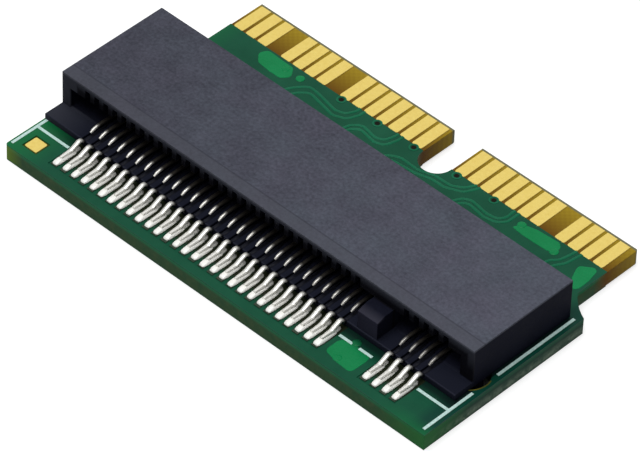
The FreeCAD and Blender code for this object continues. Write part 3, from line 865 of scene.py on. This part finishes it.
def bends(
    before: np.ndarray, corner: np.ndarray, after: np.ndarray, radius: float, steps: int
) -> np.ndarray:
    """Smooth bends in place of corners.

    Each bend starts and ends at radius * tan(turn / 2) from its corner, but within 45 percent of
    the shorter run. Between those points it is the quadratic curve whose middle control point is
    the corner: (1 - s)^2 * start + 2 s (1 - s) * corner + s^2 * end.

    Args:
        before: the point before each corner.
        corner: the corners, one row each.
        after: the point after each corner.
        radius: radius of the bends.
        steps: points along each bend.

    Returns:
        The points of all bends in order.
    """
    inward, outward = before - corner, after - corner
    long_in = np.linalg.norm(inward, axis=1, keepdims=True)
    long_out = np.linalg.norm(outward, axis=1, keepdims=True)
    inward, outward = inward / long_in, outward / long_out
    inside = np.arccos(np.clip(np.sum(inward * outward, axis=1, keepdims=True), -1.0, 1.0))
    reach = radius * np.tan((np.pi - inside) / 2)
    reach = np.minimum(reach, 0.45 * np.minimum(long_in, long_out))
    share = np.linspace(0.0, 1.0, steps)[None, :, None]
    start, end = (corner + inward * reach)[:, None], (corner + outward * reach)[:, None]
    middle = 2 * share * (1 - share) * corner[:, None]
    return ((1 - share) ** 2 * start + middle + share**2 * end).reshape(-1, corner.shape[1])


def bent_path(corners: Sequence[Span], radius: float, steps: int = 5) -> np.ndarray:
    """An open path through corners, with a smooth bend at each inner one.

    Args:
        corners: the corners in order.
        radius: radius of the bends.
        steps: points along each bend.

    Returns:
        The path's points.
    """
    row = np.asarray(corners, dtype=float)
    middle = bends(row[:-2], row[1:-1], row[2:], radius, steps)
    return np.concatenate([row[:1], middle, row[-1:]])


def bent_loop(corners: Sequence[Span], radius: float, steps: int = 5) -> np.ndarray:
    """A closed path through corners, with a smooth bend at each of them.

    Args:
        corners: the corners in order.
        radius: radius of the bends.
        steps: points along each bend.

    Returns:
        The path's points.
    """
    row = np.asarray(corners, dtype=float)
    return bends(np.roll(row, 1, axis=0), row, np.roll(row, -1, axis=0), radius, steps)


def strip(path: np.ndarray, widths: np.ndarray, thick: float, edge: float) -> Surface:
    """A strip of sheet metal carried along a path in the YZ plane.

    The section is a rectangle of width by thickness with cut corners. Its height runs along the
    path's normal and its width along X. The first and last rings are a little smaller, which eases
    the cut ends, and flat caps close them.

    Args:
        path: Y and Z of the strip's middle line.
        widths: the strip across, at each point of the path.
        thick: the sheet's thickness.
        edge: size of the cut corners.

    Returns:
        The closed strip, centred on X = 0.
    """
    normal = left_of(np.gradient(path, axis=0))
    side = np.array([-1.0, -1.0, 1.0, 1.0, 1.0, 1.0, -1.0, -1.0])
    cut = np.array([0.0, 1.0, 1.0, 0.0, 0.0, 1.0, 1.0, 0.0])
    across = side * (widths[:, None] / 2 - cut * edge)
    low, high = -thick / 2, thick / 2
    height = np.array([low + edge, low, low, low + edge, high - edge, high, high, high - edge])
    size = np.ones(len(path))
    size[[0, -1]] = 0.72
    rings = np.empty((len(path), len(side), 3))
    rings[..., 0] = across * size[:, None]
    rings[..., 1:] = path[:, None] + normal[:, None] * (height * size[:, None])[..., None]
    return ringed(rings[:, ::-1])


def ribbon(path: np.ndarray, width: float, levels: Span, ease: float) -> Surface:
    """A low ridge carried along a path in the XY plane.

    Its section is a rectangle between two levels with both upper corners cut. At each point the
    section stands across the path, and flat caps close the ends.

    Args:
        path: X and Y of the middle line.
        width: width of the ridge.
        levels: Z of its foot and of its top.
        ease: size of the cut corners.

    Returns:
        The closed ridge.
    """
    side = -left_of(np.gradient(path, axis=0))
    half, (bottom, top) = width / 2, levels
    across = np.array([-half, half, half, half - ease, ease - half, -half])
    rings = np.empty((len(path), len(across), 3))
    rings[..., :2] = path[:, None] + side[:, None] * across[:, None]
    rings[..., 2] = np.array([bottom, bottom, top - ease, top, top, top - ease])
    return ringed(rings)


def plate(outline: np.ndarray, levels: Span, ease: float) -> Surface:
    """A flat plate with an eased top edge.

    Its rings are the outline at the bottom, the outline just under the top, and the outline moved
    inwards by the ease at the top. Flat faces close the bottom and the top.

    Args:
        outline: X and Y of the edge, anticlockwise.
        levels: Z of the underside and of the top.
        ease: how far the top's edge is drawn in and down.

    Returns:
        The closed plate.
    """
    inward = left_of(np.roll(outline, -1, axis=0) - np.roll(outline, 1, axis=0))
    rings = np.empty((3, len(outline), 3))
    rings[:2, :, :2] = outline
    rings[2, :, :2] = outline + inward * ease
    rings[..., 2] = np.array([levels[0], levels[1] - ease, levels[1]])[:, None]
    return ringed(rings)


def dome(
    half_x: float, half_y: float, bottom: float, height: float, square: float = 1.0, rings: int = 5,
    around: int = 16,
) -> Surface:
    """A drop with a rounded, more or less square base.

    A point at turn t and rise p has X = half_x * cos(p) * |cos t|^square with the cosine's sign,
    Y likewise with the sine, and Z = bottom + height * sin(p). The rise stops short of a quarter
    turn, where a small flat face closes the top.

    Args:
        half_x: half of the base along X.
        half_y: half of the base along Y.
        bottom: level of the base.
        height: height of the drop.
        square: 1 gives an ellipse, and smaller numbers a squarer base.
        rings: rings from base to top.
        around: points of each ring.

    Returns:
        The closed drop, centred on X = 0, Y = 0.
    """
    turn = np.linspace(0.0, 2 * np.pi, around, endpoint=False)[None]
    rise = np.linspace(0.0, 0.47 * np.pi, rings)[:, None]
    cosine, sine = np.cos(turn), np.sin(turn)
    points = np.empty((rings, around, 3))
    points[..., 0] = half_x * np.cos(rise) * np.sign(cosine) * np.abs(cosine) ** square
    points[..., 1] = half_y * np.cos(rise) * np.sign(sine) * np.abs(sine) ** square
    points[..., 2] = bottom + height * np.sin(rise)
    return ringed(points)


def eyelet(radii: Span, levels: Span, around: int = 20) -> Surface:
    """A flat ring: a rectangle carried round a circle.

    Args:
        radii: inner and outer radius.
        levels: Z of the underside and of the top.
        around: points of each circle.

    Returns:
        The closed ring, centred on X = 0, Y = 0.
    """
    turn = np.linspace(0.0, 2 * np.pi, around, endpoint=False)[:, None]
    radius = np.repeat(radii, 2)
    points = np.empty((around, len(radius), 3))
    points[..., 0] = radius * np.cos(turn)
    points[..., 1] = radius * np.sin(turn)
    points[..., 2] = np.array([levels[0], levels[1], levels[1], levels[0]])
    return Surface(points.reshape(-1, 3), [ring_quads(around, len(radius), True)])


def spots(xs: np.ndarray, y: float, z: float = 0.0) -> np.ndarray:
    """Offsets that carry a surface to places along one row."""
    return np.stack([xs, np.full(len(xs), y), np.full(len(xs), z)], axis=1)


# ---- pieces ----


def as_piece(
    name: str, mesh: bpy.types.Mesh, material: bpy.types.Material,
    replaces: Sequence[str], sharp: float,
) -> bpy.types.Object:
    """Makes a mesh a smooth-shaded piece that rides on the part.

    Args:
        name: the piece's name.
        mesh: its mesh in metres.
        material: its finish.
        replaces: the CAD nodes that it stands for.
        sharp: edges that turn by more than this many degrees stay sharp.

    Returns:
        The new object.
    """
    mesh.polygons.foreach_set("use_smooth", np.ones(len(mesh.polygons), dtype=bool))
    mesh.set_sharp_from_angle(angle=np.radians(sharp))
    mesh.materials.clear()
    mesh.materials.append(material)
    made = bpy.data.objects.new(name, mesh)
    bpy.context.scene.collection.objects.link(made)
    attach(made, "root")
    if replaces:
        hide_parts(*replaces)
    LOG.info("piece %s: %d faces", name, len(mesh.polygons))
    return made


def surface_piece(
    name: str, surface: Surface, material: bpy.types.Material,
    replaces: Sequence[str] = (), sharp: float = 40.0,
) -> None:
    """Makes a surface a piece of the part.

    Args:
        name: the piece's name.
        surface: its points and faces.
        material: its finish.
        replaces: the CAD nodes that it stands for.
        sharp: edges that turn by more than this many degrees stay sharp.
    """
    mesh = bpy.data.meshes.new(name)
    faces = [row for block in surface.blocks for row in block.tolist()]
    mesh.from_pydata((surface.points * MM).tolist(), [], faces)
    as_piece(name, mesh, material, replaces, sharp)


def eased_copy(
    node: str, ending: str, material: bpy.types.Material, width: float,
    cut: Callable[[bmesh.types.BMesh], None] | None = None,
) -> None:
    """Stands a copy of a CAD node with rounded edges in its place.

    The copy's loose triangles are merged and its flat faces joined, and a Bevel modifier rounds
    every edge that turns by more than 30 degrees.

    Args:
        node: the CAD node.
        ending: what the new piece's name adds to the node's.
        material: its finish.
        width: how far each edge is rounded, in millimetres.
        cut: what is done to the merged copy first, if anything.
    """
    turn = 30.0
    name = f"{node}_{ending}"
    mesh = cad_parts[node].data.copy()
    mesh.name = name
    work = bmesh.new()
    work.from_mesh(mesh)
    bmesh.ops.remove_doubles(work, verts=work.verts, dist=1e-7)
    bmesh.ops.dissolve_limit(
        work, angle_limit=np.radians(0.5), verts=work.verts, edges=work.edges,
        use_dissolve_boundaries=False,
    )
    if cut is not None:
        cut(work)
    work.to_mesh(mesh)
    work.free()
    made = as_piece(name, mesh, material, (node,), turn)
    bevel = made.modifiers.new("eased edges", "BEVEL")
    bevel.width = width * MM
    bevel.segments = 2
    bevel.limit_method = "ANGLE"
    bevel.angle_limit = np.radians(turn)
    bevel.harden_normals = True


def dress(node: str, material: bpy.types.Material) -> None:
    """Gives a CAD node that stays a finish.

    Args:
        node: the CAD node.
        material: its finish.
    """
    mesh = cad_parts[node].data
    mesh.materials.clear()
    mesh.materials.append(material)


@dataclass(frozen=True)
class Joint:
    """Solder on one row of lands: a pillow that the foot sinks into and a drop at its heel.

    Y runs from the mouth of the socket.
    """

    name: str
    side: str
    ends_y: Span
    heel_y: float
    high: float
    pillow_half: float = 0.165
    drop_half: Span = (0.12, 0.20)
    drop_rise: float = 0.04

    def pillow(self) -> Surface:
        """The low pillow over the land, at the origin."""
        toe, end = self.ends_y
        return dome(self.pillow_half, abs(toe - end) / 2, 0.0, self.high, 0.45, 7, 24)

    def drop(self) -> Surface:
        """The higher drop where the lead rises, at the origin."""
        return dome(*self.drop_half, 0.0, self.high + self.drop_rise, 0.8, 6, 16)


@dataclass
class DriveSocket:
    """The drive socket: a moulded housing with two rows of formed contacts, soldered down."""

    finishes: Finishes
    place_x: float = 0.03
    place_y: float = -3.555
    board_top: float = 0.77
    pitch: float = 0.5
    starts: tuple[tuple[str, float], ...] = (("lower", -9.0), ("upper", -9.25))
    long_count: int = 29
    skipped: int = 4
    lower_short: int = 4
    upper_short: int = 5
    strip_width: float = 0.20
    sheet: float = 0.12
    sheet_edge: float = 0.035
    tip_lengths: tuple[float, ...] = (0.0, 0.5, 1.2)
    tip_widths: tuple[float, ...] = (0.12, 0.145, 0.20)
    solder_level: float = 0.766
    front_joint: Joint = Joint("front", "lower", (-2.51, -1.42), -1.36, 0.115)
    rear_joint: Joint = Joint("rear", "upper", (6.72, 5.66), 5.84, 0.085)
    housing_ease: float = 0.045
    tab_ease: float = 0.03

    def runs(self) -> dict[str, np.ndarray]:
        """Works out X of every contact: start plus the pitch times the contact's number.

        Returns:
            A row of X for each side and length.
        """
        after_key = self.long_count + self.skipped
        shorts = {"lower": self.lower_short, "upper": self.upper_short}
        found = {}
        for side, start in self.starts:
            lengths = (("long", 0, self.long_count), ("short", after_key, shorts[side]))
            for length, first, count in lengths:
                numbers = first + np.arange(count)
                found[f"{side}_{length}"] = self.place_x + start + self.pitch * numbers
        return found

    def lower_line(self) -> np.ndarray:
        """Middle line of a lower contact: foot, rise, base run, return, and the sprung crest.

        Returns:
            Y from the mouth and Z from the board's top, point by point.
        """
        corners = (
            (-2.19, 0.13), (-1.66, 0.13), (-1.22, 0.34), (-1.08, 0.34), (-0.92, 0.16), (3.91, 0.16),
            (3.91, 0.44), (0.10, 0.535), (-0.22, 0.525), (-0.42, 0.475), (-0.57, 0.40),
        )
        return bent_path(corners, 0.16)

    def upper_line(self) -> np.ndarray:
        """Middle line of an upper contact: the crest, the arm under the roof, the drop, the foot.

        Returns:
            Y from the mouth and Z from the board's top, point by point.
        """
        corners = (
            (0.37, 1.165), (0.50, 1.125), (0.74, 1.13), (1.00, 1.30), (4.86, 1.45), (4.86, 0.34),
            (5.73, 0.34), (5.89, 0.06), (6.48, 0.06),
        )
        return bent_path(corners, 0.12)

    def tapered(self, line: np.ndarray) -> np.ndarray:
        """Width along a lower contact: full, then narrower over the last part up to its tip.

        Args:
            line: the contact's middle line.

        Returns:
            Its width at each point.
        """
        left = np.linalg.norm(line - line[-1], axis=1)
        left[: len(line) // 2] = np.inf
        return np.interp(left, self.tip_lengths, self.tip_widths)

    def contacts(self) -> None:
        """Four runs of contacts replace the CAD's plain ones."""
        lines = {"lower": self.lower_line(), "upper": self.upper_line()}
        for run, places in self.runs().items():
            side, length = run.split("_")
            line = lines[side]
            widths = self.tapered(line) if side == "lower" else np.full(len(line), self.strip_width)
            one = strip(line, widths, self.sheet, self.sheet_edge)
            node = f"{side}_contacts_{length}_row"
            surface_piece(
                f"{node}_formed", one.repeated(spots(places, self.place_y, self.board_top)),
                self.finishes["contact_strip"], (node,), 55.0,
            )

    def solder(self) -> None:
        """Pillows and drops on both rows of lands, each copy a little different in size."""
        chance = np.random.default_rng(7)
        runs = self.runs()
        for joint in (self.front_joint, self.rear_joint):
            xs = np.concatenate([runs[f"{joint.side}_long"], runs[f"{joint.side}_short"]])
            middle = self.place_y + sum(joint.ends_y) / 2
            places = spots(xs, middle, self.solder_level)
            pillows = joint.pillow().repeated(places, chance.uniform(0.92, 1.06, (len(xs), 3)))
            places = spots(xs, self.place_y + joint.heel_y, self.solder_level)
            drops = joint.drop().repeated(places, chance.uniform(0.85, 1.10, (len(xs), 3)))
            surface_piece(
                f"{joint.name}_solder_joints", merged((pillows, drops)), self.finishes["solder"],
            )

    def build(self) -> None:
        """The whole socket."""
        moulding = self.finishes["black_moulding"]
        eased_copy("socket_housing", "moulded", moulding, self.housing_ease)
        self.contacts()
        self.solder()
        tin = self.finishes["tinned_strip"]
        for side in ("left", "right"):
            eased_copy(f"hold_down_{side}", "formed", tin, self.tab_ease)
            dress(f"hold_down_land_{side}", self.finishes["solder"])
        # The lands are painted near black, as the shade round the solder.
        for row in ("front", "rear"):
            for length in ("long", "short"):
                dress(f"{row}_lands_{length}_row", self.finishes["tarnished_land"])


@dataclass
class CardEdge:
    """The gold fingers on both faces of the tongue, and the open vias behind them."""

    finishes: Finishes
    width: float = 0.52
    pitch: float = 0.65
    wide_start: float = -9.66
    wide_count: int = 16
    wide_missing: tuple[int, ...] = (3, 8)
    narrow_start: float = 2.374
    narrow_count: int = 12
    narrow_missing: tuple[int, ...] = (7,)
    inner_end: float = 4.735
    outer_end: float = 6.39
    top: Span = (0.735, 0.77)
    underside: Span = (0.0, 0.035)
    corner: float = 0.11
    ease: float = 0.012
    via_y: float = 4.60
    via_radii: Span = (0.145, 0.21)
    via_levels: Span = (0.766, 0.782)
    # Height of the dark disc painted as the shade down each via.
    via_shade_rise: float = 0.006
    wide_vias: tuple[int, ...] = (9, 12, 15)
    narrow_vias: tuple[int, ...] = (0, 3)

    def finger(self, levels: Span, down: bool) -> Surface:
        """One finger: a plate with rounded inner corners and square outer ones.

        Args:
            levels: Z of its underside and its top.
            down: whether its eased side faces down.

        Returns:
            The finger, centred on X = 0.
        """
        half = self.width / 2
        corners = (
            (-half, self.outer_end), (-half, self.inner_end), (half, self.inner_end),
            (half, self.outer_end),
        )
        made = plate(bent_path(corners, self.corner), levels, self.ease)
        if down:
            made.points[:, 2] = levels[0] + levels[1] - made.points[:, 2]
            made.blocks = [block[:, ::-1] for block in made.blocks]
        return made

    def fingers(self) -> None:
        """Both tongues on both faces. The top has empty positions, and the underside is full."""
        tongues = (
            ("wide", self.wide_start, np.arange(self.wide_count), self.wide_missing),
            ("narrow", self.narrow_start, np.arange(self.narrow_count), self.narrow_missing),
        )
        for face, levels in (("top", self.top), ("underside", self.underside)):
            one = self.finger(levels, face == "underside")
            for tongue, start, numbers, missing in tongues:
                kept = np.setdiff1d(numbers, missing) if face == "top" else numbers
                node = f"edge_fingers_{face}_{tongue}"
                surface_piece(
                    f"{node}_plated", one.repeated(spots(start + self.pitch * kept, 0.0)),
                    self.finishes["gold_plate"], (node,), 30.0,
                )

    def vias(self) -> None:
        """Open vias in line with some of the fingers: a ring, and a dark disc inside it, painted as the
        shade down the hole.
        """
        wide = self.wide_start + self.pitch * np.array(self.wide_vias)
        narrow = self.narrow_start + self.pitch * np.array(self.narrow_vias)
        places = spots(np.concatenate([wide, narrow]), self.via_y)
        rings = eyelet(self.via_radii, self.via_levels).repeated(places)
        surface_piece("via_rings", rings, self.finishes["green_mask_on_traces"])
        inner = self.via_radii[0]
        shade_discs = dome(inner, inner, self.via_levels[0], self.via_shade_rise).repeated(places)
        surface_piece("via_shade_discs", shade_discs, self.finishes["hole_inside"])

    def build(self) -> None:
        """Fingers, then the vias."""
        self.fingers()
        self.vias()


@dataclass
class BoardFace:
    """The coated board: mask, ink, and the copper that shows as raised brighter green."""

    finishes: Finishes
    mark: Span = (-10.26, -5.815)
    mark_width: float = 0.66
    mark_corner: float = 0.09
    mark_levels: Span = (0.735, 0.77)
    rim: Span = (10.05, -3.055)
    rim_radius: float = 0.93
    rim_width: float = 0.06
    rim_turn: Span = (-47.0, 18.0)
    rim_levels: Span = (0.766, 0.778)
    trace_width: float = 0.14
    trace_bend: float = 0.45
    pour_bend: float = 0.25
    levels: Span = (0.764, 0.782)
    ease: float = 0.012
    board_ease: float = 0.03
    corner_beyond: Span = (9.7, 6.1)
    corner: float = 0.09

    def round_corner(self, work: bmesh.types.BMesh) -> None:
        """Rounds the upright edges of the board's rear right corner.

        Args:
            work: the board's merged mesh.
        """
        start_x, start_y = (place * MM for place in self.corner_beyond)
        chosen = [
            edge for edge in work.edges
            if all(end.co.x > start_x and end.co.y > start_y for end in edge.verts)
            and abs(edge.verts[0].co.z - edge.verts[1].co.z) > 0.2 * MM
            and abs(edge.verts[0].co.x - edge.verts[1].co.x) < 0.01 * MM
        ]
        bmesh.ops.bevel(
            work, geom=chosen, offset=self.corner * MM, segments=4, affect="EDGES", profile=0.5,
            clamp_overlap=True,
        )

    def corner_mark(self) -> None:
        """The square gold mark at the front left corner."""
        (x, y), half = self.mark, self.mark_width / 2
        corners = ((x - half, y - half), (x + half, y - half), (x + half, y + half), (x - half, y + half))
        made = plate(bent_loop(corners, self.mark_corner), self.mark_levels, self.ease)
        gold = self.finishes["gold_plate"]
        surface_piece("corner_mark_plated", made, gold, ("corner_fiducial",), 30.0)

    def hole_rim(self) -> None:
        """Pale resin round the part of the right peg hole that shows, painted bright as its glint: an arc
        of a circle.
        """
        turn = np.radians(np.linspace(*self.rim_turn, 19))
        arc = np.stack([np.cos(turn), np.sin(turn)], axis=1) * self.rim_radius + np.array(self.rim)
        made = ribbon(arc, self.rim_width, self.rim_levels, 0.01)
        surface_piece("peg_hole_rim", made, self.finishes["resin_rim"])

    def traces(self) -> None:
        """Pairs of traces from the socket's rear leads to the gaps' edges at the fingers."""
        lines = (
            ((-5.90, 3.20), (-5.65, 3.73), (-5.22, 4.28), (-4.58, 4.19), (-3.56, 3.97), (-3.13, 4.10),
             (-2.92, 4.55), (-2.92, 4.76)),
            ((-5.56, 3.20), (-5.30, 3.66), (-4.96, 4.01), (-3.42, 3.69), (-2.89, 3.92), (-2.67, 4.45),
             (-2.67, 4.76)),
            ((-2.66, 3.20), (-2.55, 3.74), (-2.20, 4.11), (-1.35, 3.93), (-0.98, 4.10), (-0.86, 4.55),
             (-0.86, 4.76)),
            ((-2.50, 3.20), (-2.38, 3.60), (-2.08, 3.88), (-1.18, 3.71), (-0.78, 3.89), (-0.62, 4.45),
             (-0.62, 4.76)),
            ((-0.50, 3.20), (-0.28, 3.58), (0.12, 3.80), (1.09, 3.77), (1.76, 4.00), (2.60, 4.02),
             (3.04, 4.30), (3.30, 4.76)),
            ((-0.20, 3.20), (0.00, 3.46), (1.10, 3.55), (1.80, 3.76), (2.50, 3.78), (3.20, 4.10),
             (3.50, 4.76)),
            ((3.14, 3.20), (3.27, 3.53), (3.45, 3.85), (3.77, 3.98), (4.65, 3.84), (5.12, 3.92),
             (5.32, 4.20), (5.30, 4.76)),
            ((3.40, 3.20), (3.50, 3.56), (3.79, 3.76), (4.68, 3.62), (5.22, 3.74), (5.52, 4.06),
             (5.53, 4.76)),
            ((8.00, 3.20), (8.07, 3.63), (8.34, 3.93), (8.43, 4.31), (8.50, 4.76)),
            ((8.32, 3.20), (8.39, 3.56), (8.63, 3.93), (8.70, 4.40), (8.75, 4.76)),
        )
        paths = [bent_path(line, self.trace_bend, 7) for line in lines]
        whole = merged([ribbon(path, self.trace_width, self.levels, self.ease) for path in paths])
        mask = self.finishes["green_mask_on_traces"]
        surface_piece("mask_over_traces", whole, mask, (), 60.0)

    def pours(self) -> None:
        """Copper areas under the mask."""
        areas = (
            ((-8.06, 4.28), (-7.66, 3.84), (-7.01, 3.77), (-6.40, 3.77), (-6.10, 4.13), (-6.42, 4.60),
             (-7.12, 4.62), (-7.84, 4.66)),
            ((5.80, 3.99), (6.37, 3.93), (7.01, 3.93), (7.60, 3.95), (7.99, 4.06), (7.94, 4.45),
             (7.71, 4.64), (7.17, 4.60), (6.64, 4.57), (6.23, 4.46), (5.98, 4.28)),
            ((9.14, 3.95), (9.34, 3.50), (9.79, 3.05), (9.93, 3.30), (9.91, 3.86), (9.78, 4.48),
             (9.57, 4.56), (9.08, 4.20)),
            ((5.48, -6.0), (6.21, -6.16), (6.98, -6.21), (7.0, -5.36), (6.90, -4.94), (5.60, -5.04),
             (5.47, -5.33)),
        )
        outlines = [bent_loop(area, self.pour_bend, 6) for area in areas]
        whole = merged([plate(outline, self.levels, 0.014) for outline in outlines])
        mask = self.finishes["green_mask_on_copper"]
        surface_piece("mask_over_pours", whole, mask, (), 30.0)

    def covered_vias(self) -> None:
        """Low domes where the mask covers a via."""
        places = np.array([
            (-5.80, 4.33, 0.0), (-6.60, 4.34, 0.0), (7.90, 4.10, 0.0), (6.03, 4.34, 0.0),
            (6.10, -5.97, 0.0), (6.06, -4.87, 0.0),
        ])
        whole = dome(0.19, 0.19, self.levels[1] - 0.006, 0.030).repeated(places)
        mask = self.finishes["green_mask_on_copper"]
        surface_piece("covered_vias", whole, mask, (), 60.0)

    def build(self) -> None:
        """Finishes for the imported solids, then the mark, the rim and the raised copper."""
        laminate = self.finishes["bare_laminate"]
        eased_copy("circuit_board", "cut", laminate, self.board_ease, self.round_corner)
        for face in ("top", "underside"):
            dress(f"solder_mask_{face}", self.finishes["green_mask"])
        dress("silkscreen_lines", self.finishes["white_ink"])
        self.corner_mark()
        self.hole_rim()
        self.traces()
        self.pours()
        self.covered_vias()


# ---- studio ----


@dataclass(frozen=True)
class TableFinish(Finish):
    """White to the camera and in reflections, with a soft shadow, and unlit under the pegs."""

    middle_y: float = -3.055
    half: Span = (11.0, 1.4)
    glow: float = 0.65

    def sockets(self) -> dict[str, object]:
        """The light that the camera, gloss and glass see, except in a strip below the socket.

        Returns:
            Values by socket name.
        """
        path = self.node("ShaderNodeLightPath").outputs
        seen = self.most(*(path[f"Is {kind} Ray"] for kind in ("Camera", "Glossy", "Transmission")))
        x, y, _ = self.axes
        wide = self.above(self.math("ABSOLUTE", x), self.half[0])
        deep = self.above(self.away(y, self.middle_y), self.half[1])
        return {
            "Base Color": (0.50, 0.50, 0.50),
            "Roughness": 0.9,
            "Emission Color": (1.0, 1.0, 1.0),
            "Emission Strength": self.times(seen, self.most(wide, deep), self.glow),
        }


@dataclass(frozen=True)
class Lamp:
    """A square soft box that looks at the part: place and side in metres, power in watts."""

    name: str
    place: Point
    side: float
    power: float

    def build(self) -> None:
        """The lamp's Z axis points from the part to its place."""
        data = bpy.data.lights.new(self.name, "AREA")
        data.shape = "SQUARE"
        data.size = self.side
        data.energy = self.power
        back = np.array(self.place) / np.linalg.norm(self.place)
        side = np.cross((0.0, 0.0, 1.0), back)
        side /= np.linalg.norm(side)
        stand(self.name, data, (side, np.cross(back, side), back, self.place))


def stand(name: str, data: bpy.types.ID, axes: Sequence[Sequence[float]]) -> bpy.types.Object:
    """Stands a camera or lamp in the scene by its X, Y and Z axes and its place.

    Args:
        name: its name.
        data: the camera or the light.
        axes: X, Y and Z axis, then the place.

    Returns:
        The new object.
    """
    made = bpy.data.objects.new(name, data)
    made.matrix_world = Matrix([*np.array(axes).T.tolist(), (0.0, 0.0, 0.0, 1.0)])
    bpy.context.scene.collection.objects.link(made)
    return made


@dataclass
class Studio:
    """A white table and surround, soft lamps and the camera. Lengths here are metres."""

    place: Point = (0.098826, -0.108837, 0.136712)
    right: Point = (0.72007931, 0.69329876, 0.0286813)
    up: Point = (-0.48849247, 0.47713918, 0.73055685)
    back: Point = (0.49280918, -0.54006947, 0.68224928)
    lens: float = 292.75
    sensor: float = 36.0
    clip: Span = (0.01, 10.0)
    table_half: float = 1.5
    table_level: float = -0.00002
    surround: float = 0.30
    lamps: tuple[Lamp, ...] = (
        Lamp("overhead", (-0.05, -0.10, 0.60), 0.40, 2.5),
        Lamp("panel", (-0.27, 0.30, 0.37), 0.55, 0.58),
    )

    def camera(self) -> None:
        """The camera stands where its three axes and place put it."""
        data = bpy.data.cameras.new("camera")
        data.lens = self.lens
        data.sensor_width = self.sensor
        data.clip_start, data.clip_end = self.clip
        axes = (self.right, self.up, self.back, self.place)
        bpy.context.scene.camera = stand("camera", data, axes)

    def table(self) -> None:
        """A large square under the part, just below the underside."""
        half, level = self.table_half, self.table_level
        corners = ((-half, -half, level), (half, -half, level), (half, half, level), (-half, half, level))
        mesh = bpy.data.meshes.new("table")
        mesh.from_pydata(corners, [], [(0, 1, 2, 3)])
        mesh.materials.append(TableFinish("white_table").material())
        made = bpy.data.objects.new("table", mesh)
        bpy.context.scene.collection.objects.link(made)

    def world(self) -> None:
        """An even white surround, at full strength to the camera alone."""
        made = bpy.data.worlds.new("surround")
        made.use_nodes = True
        shader = Shader(made.node_tree)
        seen = shader.node("ShaderNodeLightPath").outputs["Is Camera Ray"]
        ground = made.node_tree.nodes["Background"].inputs
        shader.feed(ground["Color"], (1.0, 1.0, 1.0))
        shader.feed(ground["Strength"], shader.remap(seen, (0.0, 1.0), self.surround, 1.0))
        bpy.context.scene.world = made

    def build(self) -> None:
        """Everything that isn't the part."""
        self.camera()
        self.table()
        self.world()
        for lamp in self.lamps:
            lamp.build()
        bpy.context.scene.view_settings.view_transform = "Standard"


def main() -> None:
    """Builds the sub-assemblies in order, then the studio round them."""
    logging.basicConfig(level=logging.INFO, format="%(name)s: %(message)s")
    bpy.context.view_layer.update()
    finishes = make_finishes()
    for part in (DriveSocket(finishes), CardEdge(finishes), BoardFace(finishes), Studio()):
        part.build()
        LOG.info("built %s", type(part).__name__)


if __name__ == "__main__":
    main()
